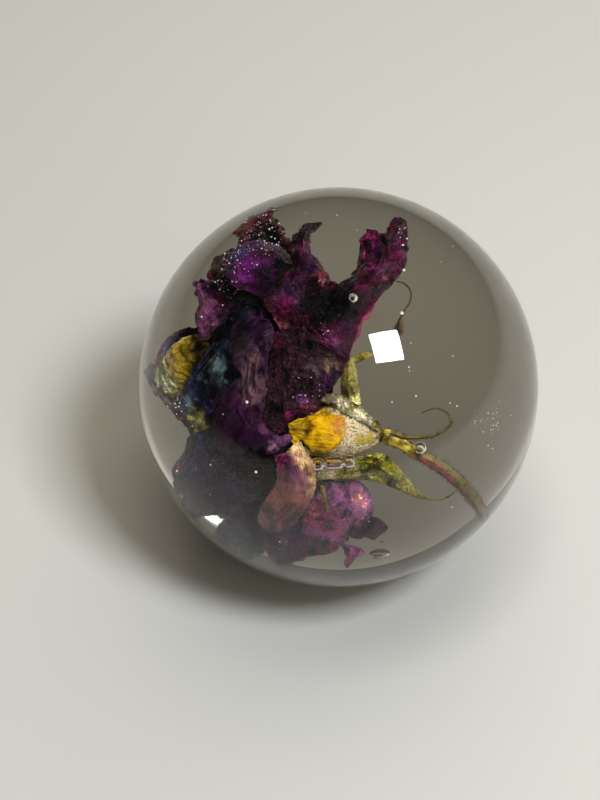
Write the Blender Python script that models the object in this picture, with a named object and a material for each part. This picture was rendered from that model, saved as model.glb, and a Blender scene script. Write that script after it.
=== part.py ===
"""A rose resin paperweight: a dried rose cast in a clear resin ball.

The ball is one casting, parted here in two round the pocket that the rose sits in. Every petal, sepal
and the stem is a separate closed solid. Their places are given by how they are seen through the ball
from the front: across and down in picture units, and how far they stand towards the eye in millimetres.
The resin bends the lines of sight, and the function `placed` follows that bend.
"""

import math

import bmesh
import bpy
import numpy as np

# Driving dimensions, metres unless named otherwise
MM = 0.001
BALL_RADIUS = 0.040
BASE_RADIUS = 0.0112
CENTRE_HEIGHT = math.sqrt(BALL_RADIUS**2 - BASE_RADIUS**2)
PARTING_GAP = 0.0003
PETAL_THICKNESS = 0.00042
SEPAL_THICKNESS = 0.0006
PETAL_GAP = 0.00045
POCKET_CLEARANCE = 0.001
POCKET_LEAST_RADIUS = 0.008
POCKET_SPREAD = math.radians(14)
RECEPTACLE_RADIUS = 0.0037
BULB_LENGTH_TO_WIDTH = 1.5

# How the ball is seen from the front
REFRACTIVE_INDEX = 1.5
EYE_DISTANCE = 0.300
EYE_RISE = math.radians(45)
BALL_SEEN_AT = (338.5, 387.0)
BALL_SEEN_RADIUS = 200.0

# Facets
LONGITUDES = 40
OUTER_LATITUDES = 10
POCKET_LATITUDES = 8
STEPS_PER_ROW = 8
STEPS_ACROSS = 24
FACETS_PER_ROW = 2
FACETS_ACROSS = 4
STEM_SIDES = 8
THREAD_SIDES = 6
RECEPTACLE_SIDES = 12
THREAD_STEPS = 2
FILL_STEPS = 3
SHARP_ANGLE = math.radians(40)
# A petal seen nearly edge-on is not made deeper than its thickness divided by this
LEAST_FACING = 0.4

# Petals and sepals: rows from the base to the tip, each with its left, middle and right point as
# (across, down, millimetres towards the eye).
# The near ones are laid from the heart of the rose towards the eye, in this order.
NEAR_SHEETS = {
    "petal_heart_near": [
        [(300, 440, 1), (302, 430, 2), (304, 420, 1)],
        [(262, 430, 1), (265, 405, 4), (268, 380, 1)],
        [(225, 430, 1), (228, 400, 4.5), (232, 368, 1)],
        [(210, 420, 0), (208, 395, 3), (214, 368, 0)],
    ],
    "petal_crest": [
        [(285, 345, 2), (300, 345, 3), (315, 345, 2)],
        [(228, 302, 0), (262, 290, 3), (300, 285, 1)],
        [(205, 276, -2), (240, 262, 1), (294, 246, -2)],
        [(218, 252, -4), (250, 238, -1), (288, 234, -4)],
        [(237, 228, -6), (258, 222, -3), (279, 221, -5)],
        [(250, 213, -7), (263, 208, -6), (276, 210, -6)],
    ],
    "petal_yellow": [
        [(190, 404, -2), (201, 396, -1), (210, 386, -2)],
        [(175, 395, -2), (189, 379, 0), (207, 364, -1)],
        [(162, 389, -3), (175, 363, 0), (208, 351, -1)],
        [(154, 376, -4), (168, 346, -2), (207, 338, -3)],
    ],
    "petal_left": [
        [(255, 380, 0), (265, 370, 1), (275, 360, 0)],
        [(208, 341, 0), (228, 330, 2), (248, 318, 0)],
        [(196, 325, -1), (215, 310, 2), (236, 300, 0)],
        [(195, 300, -2), (207, 294, 1), (224, 290, -1)],
        [(193, 283, -3), (201, 280, -1), (213, 281, -2)],
    ],
    "petal_dark": [
        [(270, 400, 4), (290, 400, 6), (310, 400, 5)],
        [(215, 350, 2), (255, 345, 7), (300, 345, 6)],
        [(208, 318, 1), (245, 300, 5), (290, 300, 5)],
        [(225, 300, -1), (250, 290, 2), (275, 290, 2)],
    ],
    "petal_blue": [
        [(262, 430, 4), (272, 420, 5), (280, 405, 4)],
        [(208, 437, 2), (228, 415, 6), (245, 385, 6)],
        [(186, 425, 1), (205, 395, 6), (238, 352, 5)],
        [(176, 408, 0), (190, 380, 4), (222, 338, 3)],
        [(180, 392, -1), (190, 372, 2), (208, 345, 1)],
    ],
    "petal_violet": [
        [(285, 350, 6), (296, 350, 7), (308, 345, 6)],
        [(250, 292, 6), (275, 290, 8), (300, 285, 6)],
        [(226, 280, 5), (256, 268, 9), (288, 262, 5)],
        [(221, 265, 3), (250, 252, 7), (280, 248, 3)],
        [(234, 246, 0), (252, 240, 3), (270, 243, 1)],
    ],
    "petal_pink": [
        [(322, 385, 4), (332, 385, 5), (342, 385, 4)],
        [(325, 345, 5), (340, 345, 6), (353, 347, 5)],
        [(335, 320, 5), (352, 318, 6), (364, 325, 4)],
        [(350, 300, 4), (362, 300, 5), (372, 308, 3)],
    ],
    "petal_spike": [
        [(285, 375, 8), (300, 375, 9), (318, 375, 8)],
        [(283, 328, 7), (304, 328, 9.5), (330, 325, 8)],
        [(264, 304, 7), (300, 288, 9), (340, 281, 6)],
        [(287, 268, 4), (302, 266, 8), (325, 268, 4)],
        [(291, 247, 3), (302, 246, 6), (313, 247, 2)],
        [(294, 235, 1), (304, 233, 4), (313, 232, 0)],
        [(301, 224, -1), (311, 224, 0), (321, 224, -1)],
    ],
    "petal_slate_low": [
        [(305, 490, 2), (300, 480, 3), (290, 474, 2)],
        [(290, 545, 1), (270, 515, 4), (250, 485, 3)],
        [(264, 553, -1), (246, 530, 2), (231, 503, 1)],
        [(249, 559, -3), (228, 547, -1), (210, 531, -2)],
    ],
    "petal_slate": [
        [(300, 470, 4), (303, 460, 5), (305, 448, 4)],
        [(262, 512, 6), (275, 475, 9), (262, 445, 7)],
        [(228, 513, 4), (235, 475, 8), (228, 440, 5)],
        [(196, 516, 1), (205, 478, 5), (197, 432, 2)],
        [(180, 502, -1), (184, 475, 2), (186, 446, 0)],
        [(171, 490, -2), (170, 478, -1), (176, 462, -2)],
    ],
    "petal_flap": [
        [(340, 520, 0), (345, 528, 0), (350, 536, 0)],
        [(358, 512, -1), (362, 524, -0.5), (362, 537, -1)],
        [(374, 516, -2), (378, 527, -1), (371, 541, -2)],
        [(383, 521, -3), (388, 527, -2.5), (383, 533, -3)],
    ],
    "petal_scrap": [
        [(336, 540, 0), (342, 543, 0.5), (350, 545, 0)],
        [(346, 550, -1), (354, 550, 0), (364, 551, -1)],
        [(344, 560, -2), (350, 561, -1), (358, 560, -2)],
        [(344, 567, -2.5), (347, 568, -2), (350, 566, -2.5)],
    ],
    "petal_plum": [
        [(320, 480, 4), (310, 478, 5), (300, 476, 4)],
        [(335, 515, 3), (305, 512, 6), (275, 505, 4)],
        [(342, 545, 1), (305, 540, 4), (266, 535, 2)],
        [(336, 553, 0), (304, 562, 1), (271, 560, 0)],
    ],
    "petal_cup": [
        [(322, 486, 3), (326, 482, 4), (332, 481, 3)],
        [(312, 505, 4), (335, 498, 8), (352, 480, 4)],
        [(308, 522, 3), (340, 515, 8), (371, 496, 3)],
        [(313, 537, 1), (345, 532, 5), (375, 517, 1)],
        [(330, 544, -1), (347, 540, 1), (366, 532, -1)],
    ],
    "petal_horn": [
        [(296, 388, 8), (310, 384, 9), (326, 382, 8)],
        [(300, 345, 10), (325, 345, 12), (350, 350, 9)],
        [(318, 305, 9), (345, 302, 11.5), (372, 309, 7)],
        [(343, 281, 6), (366, 280, 9), (388, 287, 4)],
        [(357, 264, 3), (380, 260, 6), (403, 268, 2)],
        [(360, 244, 1), (382, 242, 4.5), (408, 246, 1)],
        [(367, 229, 0), (386, 228, 2), (409, 228, -1)],
        [(383, 221, -1), (395, 213, 0.5), (406, 217, -2)],
    ],
    "petal_maroon": [
        [(286, 434, 8), (292, 424, 9), (298, 416, 8)],
        [(270, 420, 10), (292, 400, 12), (318, 408, 9)],
        [(260, 385, 11), (294, 372, 13), (336, 388, 9)],
        [(258, 355, 11), (296, 346, 13), (345, 364, 9)],
        [(268, 328, 9), (292, 326, 10.5), (318, 332, 9)],
    ],
    "sepal_lower": [
        [(318, 470, 7), (317, 475, 7.5), (318, 480, 7)],
        [(341, 464, 7), (341, 472, 8), (342, 479, 7)],
        [(362, 456, 6), (361, 468, 8), (362, 480, 6)],
        [(382, 453, 5), (379, 468, 7), (376, 482, 5)],
        [(396, 463, 4), (393, 475, 6), (388, 486, 4)],
        [(409, 480, 4), (404, 486, 5), (399, 491, 4)],
        [(424, 495, 4), (420, 497, 4.6), (416, 498, 4)],
        [(438, 498.5, 4), (437.5, 500, 4.2), (437, 501.5, 4)],
        [(448, 495, 4), (448.5, 496.5, 4.2), (449, 498, 4)],
        [(457, 487, 4), (458.5, 488, 4.2), (460, 489, 4)],
    ],
    "sepal_short": [
        [(319, 486, 9), (322, 485, 9.5), (325, 487, 9)],
        [(321, 496, 9.5), (323.5, 496, 10), (326, 497, 9.5)],
        [(324, 505, 9.5), (326, 506, 10), (328, 505, 9.5)],
        [(327, 512, 9), (328.5, 512.5, 9.2), (330, 512, 9)],
    ],
    "petal_gold": [
        [(345, 434, 7), (346, 441, 7.5), (344, 449, 7)],
        [(335, 421, 8), (337, 440, 10.5), (328, 457, 8)],
        [(318, 412, 8), (314, 437, 11), (311, 455, 8)],
        [(298, 418, 7), (292, 432, 9), (296, 445, 7)],
    ],
    "petal_tan": [
        [(295, 444, 8), (299, 440, 8.5), (303, 446, 8)],
        [(280, 455, 9), (298, 458, 11.5), (313, 464, 9)],
        [(274, 476, 9), (298, 484, 13), (319, 483, 9)],
        [(266, 498, 9), (292, 507, 12), (313, 500, 8)],
        [(259, 510, 8), (278, 527, 9), (298, 522, 7)],
    ],
    "sepal_upper": [
        [(379, 423, 7), (380, 428, 7.5), (378, 434, 7)],
        [(366, 411, 8), (364, 418, 8.5), (363, 427, 8)],
        [(349, 398, 8), (347, 405, 9), (347, 414, 9)],
        [(334, 391, 7), (331, 396, 8), (330, 403, 8)],
    ],
    "petal_mauve": [
        [(300, 462, 7), (305, 450, 9), (312, 436, 8)],
        [(235, 466, 9), (268, 440, 13), (290, 415, 12)],
        [(214, 436, 8), (240, 412, 13.5), (266, 395, 14)],
        [(216, 398, 8), (242, 372, 13), (265, 362, 14)],
        [(230, 350, 7), (246, 338, 11), (270, 330, 12)],
        [(236, 326, 5), (252, 319, 8), (275, 318, 9)],
    ],
}

# The far ones are laid from the heart of the rose away from the eye, in this order.
FAR_SHEETS = {
    "petal_heart_far": [
        [(300, 438, -1), (302, 430, -1.5), (304, 422, -1)],
        [(262, 428, -1), (265, 402, -4.5), (268, 380, -1)],
        [(228, 428, -1), (228, 398, -5), (234, 370, -1)],
        [(212, 415, -1), (210, 392, -4), (216, 370, -1)],
    ],
    "petal_rim": [
        [(245, 372, -4), (240, 395, -3), (240, 418, -2)],
        [(212, 330, -6), (205, 380, -6), (203, 434, -1)],
        [(193, 325, -6), (178, 375, -7), (187, 427, -1)],
        [(176, 330, -6), (162, 370, -6.5), (172, 414, -1)],
        [(163, 342, -6), (150, 372, -5.5), (158, 400, -2)],
        [(150, 362, -5), (143, 371, -5), (147, 385, -3)],
    ],
    "sepal_back": [
        [(344, 398, 1), (352, 400, 1.5), (360, 400, 1)],
        [(346, 385, 1), (352, 385, 2), (359, 386, 1)],
        [(349, 368, 0.5), (354, 368, 1), (358, 368, 0.5)],
        [(360, 357, 0), (362, 358, 0.2), (364, 359, 0)],
        [(369, 352.5, -0.5), (370, 354, -0.3), (371, 355.5, -0.5)],
    ],
    "petal_back_1": [
        [(296, 405, -3), (312, 412, -3.5), (330, 416, -3)],
        [(255, 350, -5), (295, 345, -9), (335, 352, -6)],
        [(240, 305, -6), (288, 290, -11), (336, 300, -7)],
        [(262, 268, -6), (290, 262, -9), (318, 272, -6)],
    ],
    "petal_back_2": [
        [(298, 444, -3), (296, 436, -3.5), (296, 426, -3)],
        [(235, 460, -9), (245, 420, -14), (245, 385, -11)],
        [(200, 455, -8), (205, 405, -15), (212, 365, -11)],
        [(185, 430, -5), (185, 400, -9), (195, 370, -7)],
    ],
    "petal_back_3": [
        [(324, 456, -3), (316, 456, -3.5), (306, 454, -3)],
        [(345, 500, -4), (315, 505, -9), (280, 498, -6)],
        [(350, 530, -2), (315, 545, -7), (270, 530, -5)],
        [(335, 548, -2), (305, 557, -4), (275, 550, -3)],
    ],
    "petal_back_4": [
        [(306, 452, -4), (300, 450, -4.5), (296, 444, -4)],
        [(275, 500, -7), (255, 470, -12), (240, 440, -9)],
        [(245, 520, -7), (225, 490, -13), (205, 455, -9)],
        [(220, 525, -4), (205, 500, -8), (192, 475, -5)],
    ],
    "petal_back_5": [
        [(296, 430, -4), (298, 422, -4.5), (304, 414, -4)],
        [(235, 400, -8), (255, 370, -11), (285, 350, -9)],
        [(205, 370, -8), (225, 330, -13), (262, 310, -10)],
        [(205, 335, -6), (225, 305, -9), (250, 295, -8)],
    ],
    "petal_back_6": [
        [(300, 424, -8), (306, 418, -9), (314, 414, -8)],
        [(268, 385, -17), (292, 368, -20), (318, 366, -16)],
        [(255, 345, -16), (285, 328, -20), (318, 338, -15)],
    ],
    "petal_back_7": [
        [(316, 458, -7), (306, 458, -8), (298, 452, -7)],
        [(305, 500, -13), (280, 492, -17), (258, 470, -15)],
        [(285, 525, -12), (255, 512, -16), (235, 480, -13)],
    ],
    "petal_back_8": [
        [(296, 446, -8), (292, 438, -9), (294, 430, -8)],
        [(252, 450, -17), (250, 425, -21), (262, 398, -17)],
        [(228, 440, -16), (226, 408, -20), (240, 378, -16)],
    ],
}

# Threads: points along the middle with the radius in millimetres
STEM = [
    (390, 438.5, 3.8, 0.95),
    (400, 443, 3.4, 0.8),
    (414, 452, 3, 0.75),
    (427, 459, 2.6, 0.85),
    (446, 471, 2, 0.92),
    (463, 486, 1.4, 0.92),
    (477, 503, 0.8, 0.92),
    (486, 519, 0.2, 0.92),
]
TENDRIL = [
    (386, 430, 7.6, 0.5),
    (397, 435, 7, 0.55),
    (411, 438, 6.4, 0.35),
    (433, 436, 6, 0.22),
    (449, 426, 5.8, 0.18),
    (449, 415, 5.6, 0.15),
    (440, 409, 5.4, 0.14),
    (431, 409, 5.2, 0.12),
    (422, 413, 5, 0.1),
]
LOOSE_STAMEN = [
    (396, 281, 0.5, 0.12),
    (405, 284, 0.3, 0.13),
    (411, 292, 0.1, 0.13),
    (410, 302, 0, 0.15),
    (405, 310, 0, 0.16),
    (402, 318, 0, 0.3),
    (400, 328, 0, 0.45),
    (399, 334, 0, 0.12),
]
RECEPTACLE_ENDS = ((386, 436, 4), (300, 431, 3.5))
RECEPTACLE_PROFILE = (
    (0.0, 0.30),
    (0.10, 0.42),
    (0.25, 0.70),
    (0.42, 0.94),
    (0.60, 1.0),
    (0.78, 0.90),
    (0.92, 0.62),
    (1.0, 0.30),
)

# Colours: red, green, blue and roughness
PETAL_COLOURS = {
    "petal_crest": (0.055, 0.008, 0.012, 0.5),
    "petal_violet": (0.12, 0.015, 0.17, 0.5),
    "petal_spike": (0.11, 0.010, 0.06, 0.5),
    "petal_horn": (0.20, 0.012, 0.09, 0.5),
    "petal_pink": (0.34, 0.05, 0.14, 0.5),
    "petal_left": (0.09, 0.015, 0.08, 0.5),
    "petal_dark": (0.008, 0.005, 0.012, 0.5),
    "petal_rim": (0.045, 0.025, 0.055, 0.5),
    "petal_yellow": (0.36, 0.26, 0.02, 0.5),
    "petal_blue": (0.02, 0.035, 0.08, 0.5),
    "petal_mauve": (0.075, 0.035, 0.075, 0.5),
    "petal_maroon": (0.05, 0.008, 0.018, 0.5),
    "petal_gold": (0.62, 0.30, 0.01, 0.5),
    "petal_tan": (0.38, 0.20, 0.17, 0.5),
    "petal_slate": (0.02, 0.02, 0.028, 0.5),
    "petal_slate_low": (0.05, 0.05, 0.06, 0.5),
    "petal_plum": (0.06, 0.02, 0.06, 0.5),
    "petal_cup": (0.19, 0.03, 0.13, 0.5),
    "petal_flap": (0.07, 0.05, 0.07, 0.5),
    "petal_scrap": (0.24, 0.015, 0.09, 0.5),
}
HIDDEN_PETAL_COLOUR = (0.07, 0.012, 0.05, 0.5)
SEPAL_COLOUR = (0.16, 0.19, 0.03, 0.6)
STEM_COLOUR = (0.27, 0.12, 0.05, 0.6)
RECEPTACLE_COLOUR = (0.50, 0.44, 0.26, 0.8)
STAMEN_COLOUR = (0.12, 0.09, 0.03, 0.6)
RESIN_COLOUR = (0.92, 0.91, 0.87, 0.03)

RIGHT = np.array([1.0, 0.0, 0.0])
UPWARD = np.array([0.0, math.sin(EYE_RISE), math.cos(EYE_RISE)])
TOWARDS = np.array([0.0, -math.cos(EYE_RISE), math.sin(EYE_RISE)])
BALL_CENTRE = np.array([0.0, 0.0, CENTRE_HEIGHT])


def placed(points):
    """Real places of points seen at (across, down) through the ball, at a depth in millimetres."""
    points = np.asarray(points, dtype=float)
    focal = BALL_SEEN_RADIUS / math.tan(math.asin(BALL_RADIUS / EYE_DISTANCE))
    across = (points[..., 0] - BALL_SEEN_AT[0]) / focal
    down = (points[..., 1] - BALL_SEEN_AT[1]) / focal
    sight = np.stack([across, -down, -np.ones_like(across)], axis=-1)
    sight /= np.linalg.norm(sight, axis=-1, keepdims=True)
    eye = np.array([0.0, 0.0, EYE_DISTANCE])
    along = sight @ eye
    reach = -along - np.sqrt(along**2 - EYE_DISTANCE**2 + BALL_RADIUS**2)
    entry = eye + sight * reach[..., None]
    normal = entry / BALL_RADIUS
    cosine = -np.sum(sight * normal, axis=-1)
    bend = 1 / REFRACTIVE_INDEX
    slant = bend * cosine - np.sqrt(1 - bend**2 * (1 - cosine**2))
    inside = bend * sight + slant[..., None] * normal
    step = (points[..., 2] * MM - entry[..., 2]) / inside[..., 2]
    seen = entry + inside * step[..., None]
    frame = np.stack([RIGHT, UPWARD, TOWARDS])
    return seen @ frame + BALL_CENTRE


def smooth_rows(rows, steps):
    """Catmull-Rom curves through the rows, with so many steps from one row to the next."""
    rows = np.asarray(rows, dtype=float)
    padded = np.concatenate([2 * rows[:1] - rows[1:2], rows, 2 * rows[-1:] - rows[-2:-1]])
    result = []
    for index in range(1, len(padded) - 2):
        before, start, end, after = padded[index - 1 : index + 3]
        for step in range(steps):
            t = step / steps
            result.append(
                0.5
                * (
                    2 * start
                    + (end - before) * t
                    + (2 * before - 5 * start + 4 * end - after) * t**2
                    + (3 * start - before - 3 * end + after) * t**3
                )
            )
    result.append(rows[-1])
    return np.array(result)


def petal_sheet(rows):
    """The middle surface of a petal: a grid of (across, down, depth), from its rows of three points."""
    lengthwise = smooth_rows(rows, STEPS_PER_ROW)
    v = np.linspace(0, 1, STEPS_ACROSS + 1)[None, :, None]
    left, middle, right = (lengthwise[:, None, side] for side in range(3))
    crown = 2 * middle - 0.5 * (left + right)
    return (1 - v) ** 2 * left + 2 * v * (1 - v) * crown + v**2 * right


def half_depth(sheet, thickness):
    """Half the thickness of a sheet in millimetres, measured along the line of sight."""
    places = placed(sheet)
    along = np.gradient(places, axis=0)
    across = np.gradient(places, axis=1)
    normal = np.cross(along, across)
    length = np.linalg.norm(normal, axis=-1)
    facing = np.abs(normal @ TOWARDS) / np.maximum(length, 1e-12)
    return 0.5 * thickness / MM / np.maximum(facing, LEAST_FACING)


def neighbours(grid, pick):
    """The largest value or the mean of each cell of a grid and the cells beside it."""
    edged = np.pad(grid, 1, mode="edge")
    rows, columns = grid.shape
    shifted = [edged[i : i + rows, j : j + columns] for i in range(3) for j in range(3)]
    return pick(np.stack(shifted), axis=0)


class Pile:
    """The surface of what has been laid so far, as heights over the picture."""

    CELL = 2.0
    CELLS = 320
    EMPTY = -1000.0

    def __init__(self):
        self.heights = np.full((self.CELLS, self.CELLS), self.EMPTY)

    def cells(self, across, down):
        column = np.clip((across / self.CELL).astype(int), 0, self.CELLS - 1)
        row = np.clip((down / self.CELL).astype(int), 0, self.CELLS - 1)
        return row, column

    def under(self, sheet):
        return self.heights[self.cells(sheet[..., 0], sheet[..., 1])]

    def lay(self, sheet, heights):
        layer = np.full_like(self.heights, self.EMPTY)
        points = np.concatenate([sheet[..., :2], heights[..., None]], axis=-1)
        fine = smooth_rows(points, FILL_STEPS)
        fine = smooth_rows(fine.transpose(1, 0, 2), FILL_STEPS)
        np.maximum.at(layer, self.cells(fine[..., 0], fine[..., 1]), fine[..., 2])
        self.heights = np.maximum(self.heights, neighbours(layer, np.max))


def settle(sheet, thickness, pile, side):
    """Lift a sheet off what lies under it. The side is 1 for near sheets and -1 for far ones."""
    half = half_depth(sheet, thickness)
    depth = side * sheet[..., 2]
    lift = np.maximum(pile.under(sheet) + PETAL_GAP / MM + half - depth, 0)
    for _ in range(STEPS_PER_ROW):
        lift = np.maximum(lift, neighbours(lift, np.mean))
    sheet = sheet.copy()
    sheet[..., 2] = side * (depth + lift)
    pile.lay(sheet, depth + lift + half)
    return sheet


def material_of(name, colour):
    material = bpy.data.materials.new(name)
    material.use_nodes = True
    shader = material.node_tree.nodes["Principled BSDF"]
    red, green, blue, roughness = colour
    shader.inputs["Base Color"].default_value = (red, green, blue, 1)
    shader.inputs["Roughness"].default_value = roughness
    shader.inputs["Metallic"].default_value = 0
    material.diffuse_color = (red, green, blue, 1)
    return material


def add_object(name, vertices, faces, colour):
    """One closed solid with its faces pointing out and its own material."""
    mesh = bpy.data.meshes.new(name)
    mesh.from_pydata([tuple(vertex) for vertex in vertices], [], faces)
    work = bmesh.new()
    work.from_mesh(mesh)
    bmesh.ops.triangulate(work, faces=work.faces)
    bmesh.ops.recalc_face_normals(work, faces=work.faces)
    if work.calc_volume(signed=True) < 0:
        bmesh.ops.reverse_faces(work, faces=work.faces)
    work.to_mesh(mesh)
    work.free()
    mesh.shade_smooth()
    mesh.set_sharp_from_angle(angle=SHARP_ANGLE)
    mesh.materials.append(material_of(name, colour))
    obj = bpy.data.objects.new(name, mesh)
    bpy.context.collection.objects.link(obj)
    return obj


def strip_faces(first, second, closed):
    """Quads between two equal runs of vertex numbers."""
    count = len(first) if closed else len(first) - 1
    faces = []
    for index in range(count):
        after = (index + 1) % len(first)
        faces.append((first[index], first[after], second[after], second[index]))
    return faces


def add_sheet(name, sheet, thickness, colour):
    """A petal or sepal: the settled sheet in coarse facets, with its thickness."""
    half = half_depth(sheet, thickness)
    row_step = STEPS_PER_ROW // FACETS_PER_ROW
    across_step = STEPS_ACROSS // FACETS_ACROSS
    coarse = sheet[::row_step, ::across_step]
    half = half[::row_step, ::across_step]
    rows, columns = half.shape
    front = coarse.copy()
    front[..., 2] += half
    back = coarse.copy()
    back[..., 2] -= half
    vertices = np.concatenate([placed(front).reshape(-1, 3), placed(back).reshape(-1, 3)])
    number = np.arange(2 * rows * columns).reshape(2, rows, columns)
    faces = []
    for row in range(rows - 1):
        faces += strip_faces(number[0, row], number[0, row + 1], False)
        faces += strip_faces(number[1, row + 1], number[1, row], False)
    border = [
        [grid[0, column] for column in range(columns - 1)]
        + [grid[row, -1] for row in range(rows - 1)]
        + [grid[-1, column] for column in range(columns - 1, 0, -1)]
        + [grid[row, 0] for row in range(rows - 1, 0, -1)]
        for grid in number
    ]
    faces += strip_faces(border[1], border[0], True)
    return add_object(name, vertices, faces, colour)


def turned_solid(name, centres, radii, sides, colour):
    """A closed tube round the centres, with a flat cap at each end."""
    centres = np.asarray(centres)
    tangents = np.gradient(centres, axis=0)
    tangents /= np.linalg.norm(tangents, axis=1, keepdims=True)
    sideways = np.cross(tangents[0], TOWARDS)
    vertices = []
    for centre, tangent, radius in zip(centres, tangents, radii):
        sideways = sideways - tangent * (sideways @ tangent)
        sideways /= np.linalg.norm(sideways)
        other = np.cross(tangent, sideways)
        for side in range(sides):
            angle = 2 * math.pi * side / sides
            vertices.append(centre + radius * (math.cos(angle) * sideways + math.sin(angle) * other))
    number = np.arange(len(vertices)).reshape(-1, sides)
    faces = []
    for first, second in zip(number, number[1:]):
        faces += strip_faces(first, second, True)
    vertices += [centres[0], centres[-1]]
    for ring, tip in ((number[0], len(vertices) - 2), (number[-1], len(vertices) - 1)):
        faces += [(ring[side], ring[(side + 1) % sides], tip) for side in range(sides)]
    return add_object(name, vertices, faces, colour)


def add_thread(name, points, sides, colour):
    """A round thread through points of (across, down, depth, radius in millimetres)."""
    course = smooth_rows(points, THREAD_STEPS)
    return turned_solid(name, placed(course[:, :3]), course[:, 3] * MM, sides, colour)


def add_receptacle():
    ends = placed(RECEPTACLE_ENDS)
    profile = smooth_rows(RECEPTACLE_PROFILE, THREAD_STEPS)
    centres = ends[0] + profile[:, :1] * (ends[1] - ends[0])
    radii = profile[:, 1] * RECEPTACLE_RADIUS
    return turned_solid("receptacle", centres, radii, RECEPTACLE_SIDES, RECEPTACLE_COLOUR)


def seen_at(place):
    """Where a place near the middle of the ball is seen, for small distances from its centre."""
    scale = BALL_SEEN_RADIUS * REFRACTIVE_INDEX / BALL_RADIUS
    return BALL_SEEN_AT[0] + place @ RIGHT * scale, BALL_SEEN_AT[1] - place @ UPWARD * scale


def lay_bulb(pile, obj, side):
    """Add the bulb under the bloom to a pile, as a level oval that covers how it is seen."""
    corners = np.array([vertex.co for vertex in obj.data.vertices]) - BALL_CENTRE
    depth = corners @ TOWARDS / MM
    middle = corners.mean(axis=0)
    centre_seen = seen_at(middle)
    spread = np.linalg.norm(corners - middle, axis=1).max()
    radius_seen = spread / BALL_RADIUS * BALL_SEEN_RADIUS * REFRACTIVE_INDEX
    rows, columns = np.indices(pile.heights.shape)
    across = (columns + 0.5) * pile.CELL - centre_seen[0]
    down = (rows + 0.5) * pile.CELL - centre_seen[1]
    inside = across**2 + (down * BULB_LENGTH_TO_WIDTH) ** 2 < radius_seen**2
    height = (side * depth).max()
    pile.heights = np.where(inside, np.maximum(pile.heights, height), pile.heights)


def directions(latitudes):
    """Unit vectors on a grid of latitudes and longitudes."""
    longitudes = np.arange(LONGITUDES) * 2 * math.pi / LONGITUDES
    latitude, longitude = np.meshgrid(latitudes, longitudes, indexing="ij")
    level = np.cos(latitude)
    return np.stack([level * np.cos(longitude), level * np.sin(longitude), np.sin(latitude)], axis=-1)


def pocket_radii(grid, rose_points):
    """How far the pocket reaches in each direction: just past the rose."""
    reach = np.linalg.norm(rose_points, axis=1)
    headings = rose_points / reach[:, None]
    close = grid @ headings.T > math.cos(POCKET_SPREAD)
    farthest = np.where(close, reach, 0).max(axis=-1)
    return np.maximum(farthest + POCKET_CLEARANCE, POCKET_LEAST_RADIUS)


def add_half_ball(name, side, rose_points):
    """One half of the ball: the sphere outside, the pocket inside and the parting face between."""
    lowest = math.asin(CENTRE_HEIGHT / BALL_RADIUS) if side < 0 else math.pi / 2
    outer_latitudes = side * np.linspace(0, lowest, OUTER_LATITUDES + 1)
    pocket_latitudes = side * np.linspace(0, math.pi / 2, POCKET_LATITUDES + 1)
    outer = directions(outer_latitudes if side < 0 else outer_latitudes[:-1]) * BALL_RADIUS
    pocket_grid = directions(pocket_latitudes[:-1])
    pocket = pocket_grid * pocket_radii(pocket_grid, rose_points)[..., None]
    pocket_pole = np.array([0, 0, float(side)])
    pocket_tip = pocket_pole * pocket_radii(pocket_pole[None], rose_points)[0]
    outer_tip = np.array([0, 0, side * (CENTRE_HEIGHT if side < 0 else BALL_RADIUS)])
    outer[0, :, 2] = side * PARTING_GAP / 2
    pocket[0, :, 2] = side * PARTING_GAP / 2
    vertices = np.concatenate([outer.reshape(-1, 3), pocket.reshape(-1, 3), [outer_tip, pocket_tip]])
    outer_number = np.arange(outer[..., 0].size).reshape(-1, LONGITUDES)
    pocket_number = outer_number.size + np.arange(pocket[..., 0].size).reshape(-1, LONGITUDES)
    faces = strip_faces(outer_number[0], pocket_number[0], True)
    for number in (outer_number, pocket_number):
        for first, second in zip(number, number[1:]):
            faces += strip_faces(first, second, True)
    tips = ((outer_number[-1], len(vertices) - 2), (pocket_number[-1], len(vertices) - 1))
    for ring, tip in tips:
        faces += [(ring[i], ring[(i + 1) % LONGITUDES], tip) for i in range(LONGITUDES)]
    return add_object(name, vertices + BALL_CENTRE, faces, RESIN_COLOUR)


def main():
    for obj in list(bpy.data.objects):
        bpy.data.objects.remove(obj)
    rose = [
        add_receptacle(),
        add_thread("stem", STEM, STEM_SIDES, STEM_COLOUR),
        add_thread("sepal_tendril", TENDRIL, THREAD_SIDES, SEPAL_COLOUR),
        add_thread("stamen_loose", LOOSE_STAMEN, THREAD_SIDES, STAMEN_COLOUR),
    ]
    for side, sheets in ((1, NEAR_SHEETS), (-1, FAR_SHEETS)):
        pile = Pile()
        lay_bulb(pile, rose[0], side)
        for name, rows in sheets.items():
            is_sepal = name.startswith("sepal")
            thickness = SEPAL_THICKNESS if is_sepal else PETAL_THICKNESS
            colour = SEPAL_COLOUR if is_sepal else PETAL_COLOURS.get(name, HIDDEN_PETAL_COLOUR)
            sheet = settle(petal_sheet(rows), thickness, pile, side)
            rose.append(add_sheet(name, sheet, thickness, colour))
    corners = [np.array([vertex.co for vertex in obj.data.vertices]) for obj in rose]
    rose_points = np.concatenate(corners) - BALL_CENTRE
    add_half_ball("resin_upper", 1, rose_points)
    add_half_ball("resin_lower", -1, rose_points)


main()
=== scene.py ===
import math

import bmesh
import bpy
import numpy as np
from mathutils import Matrix


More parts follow.
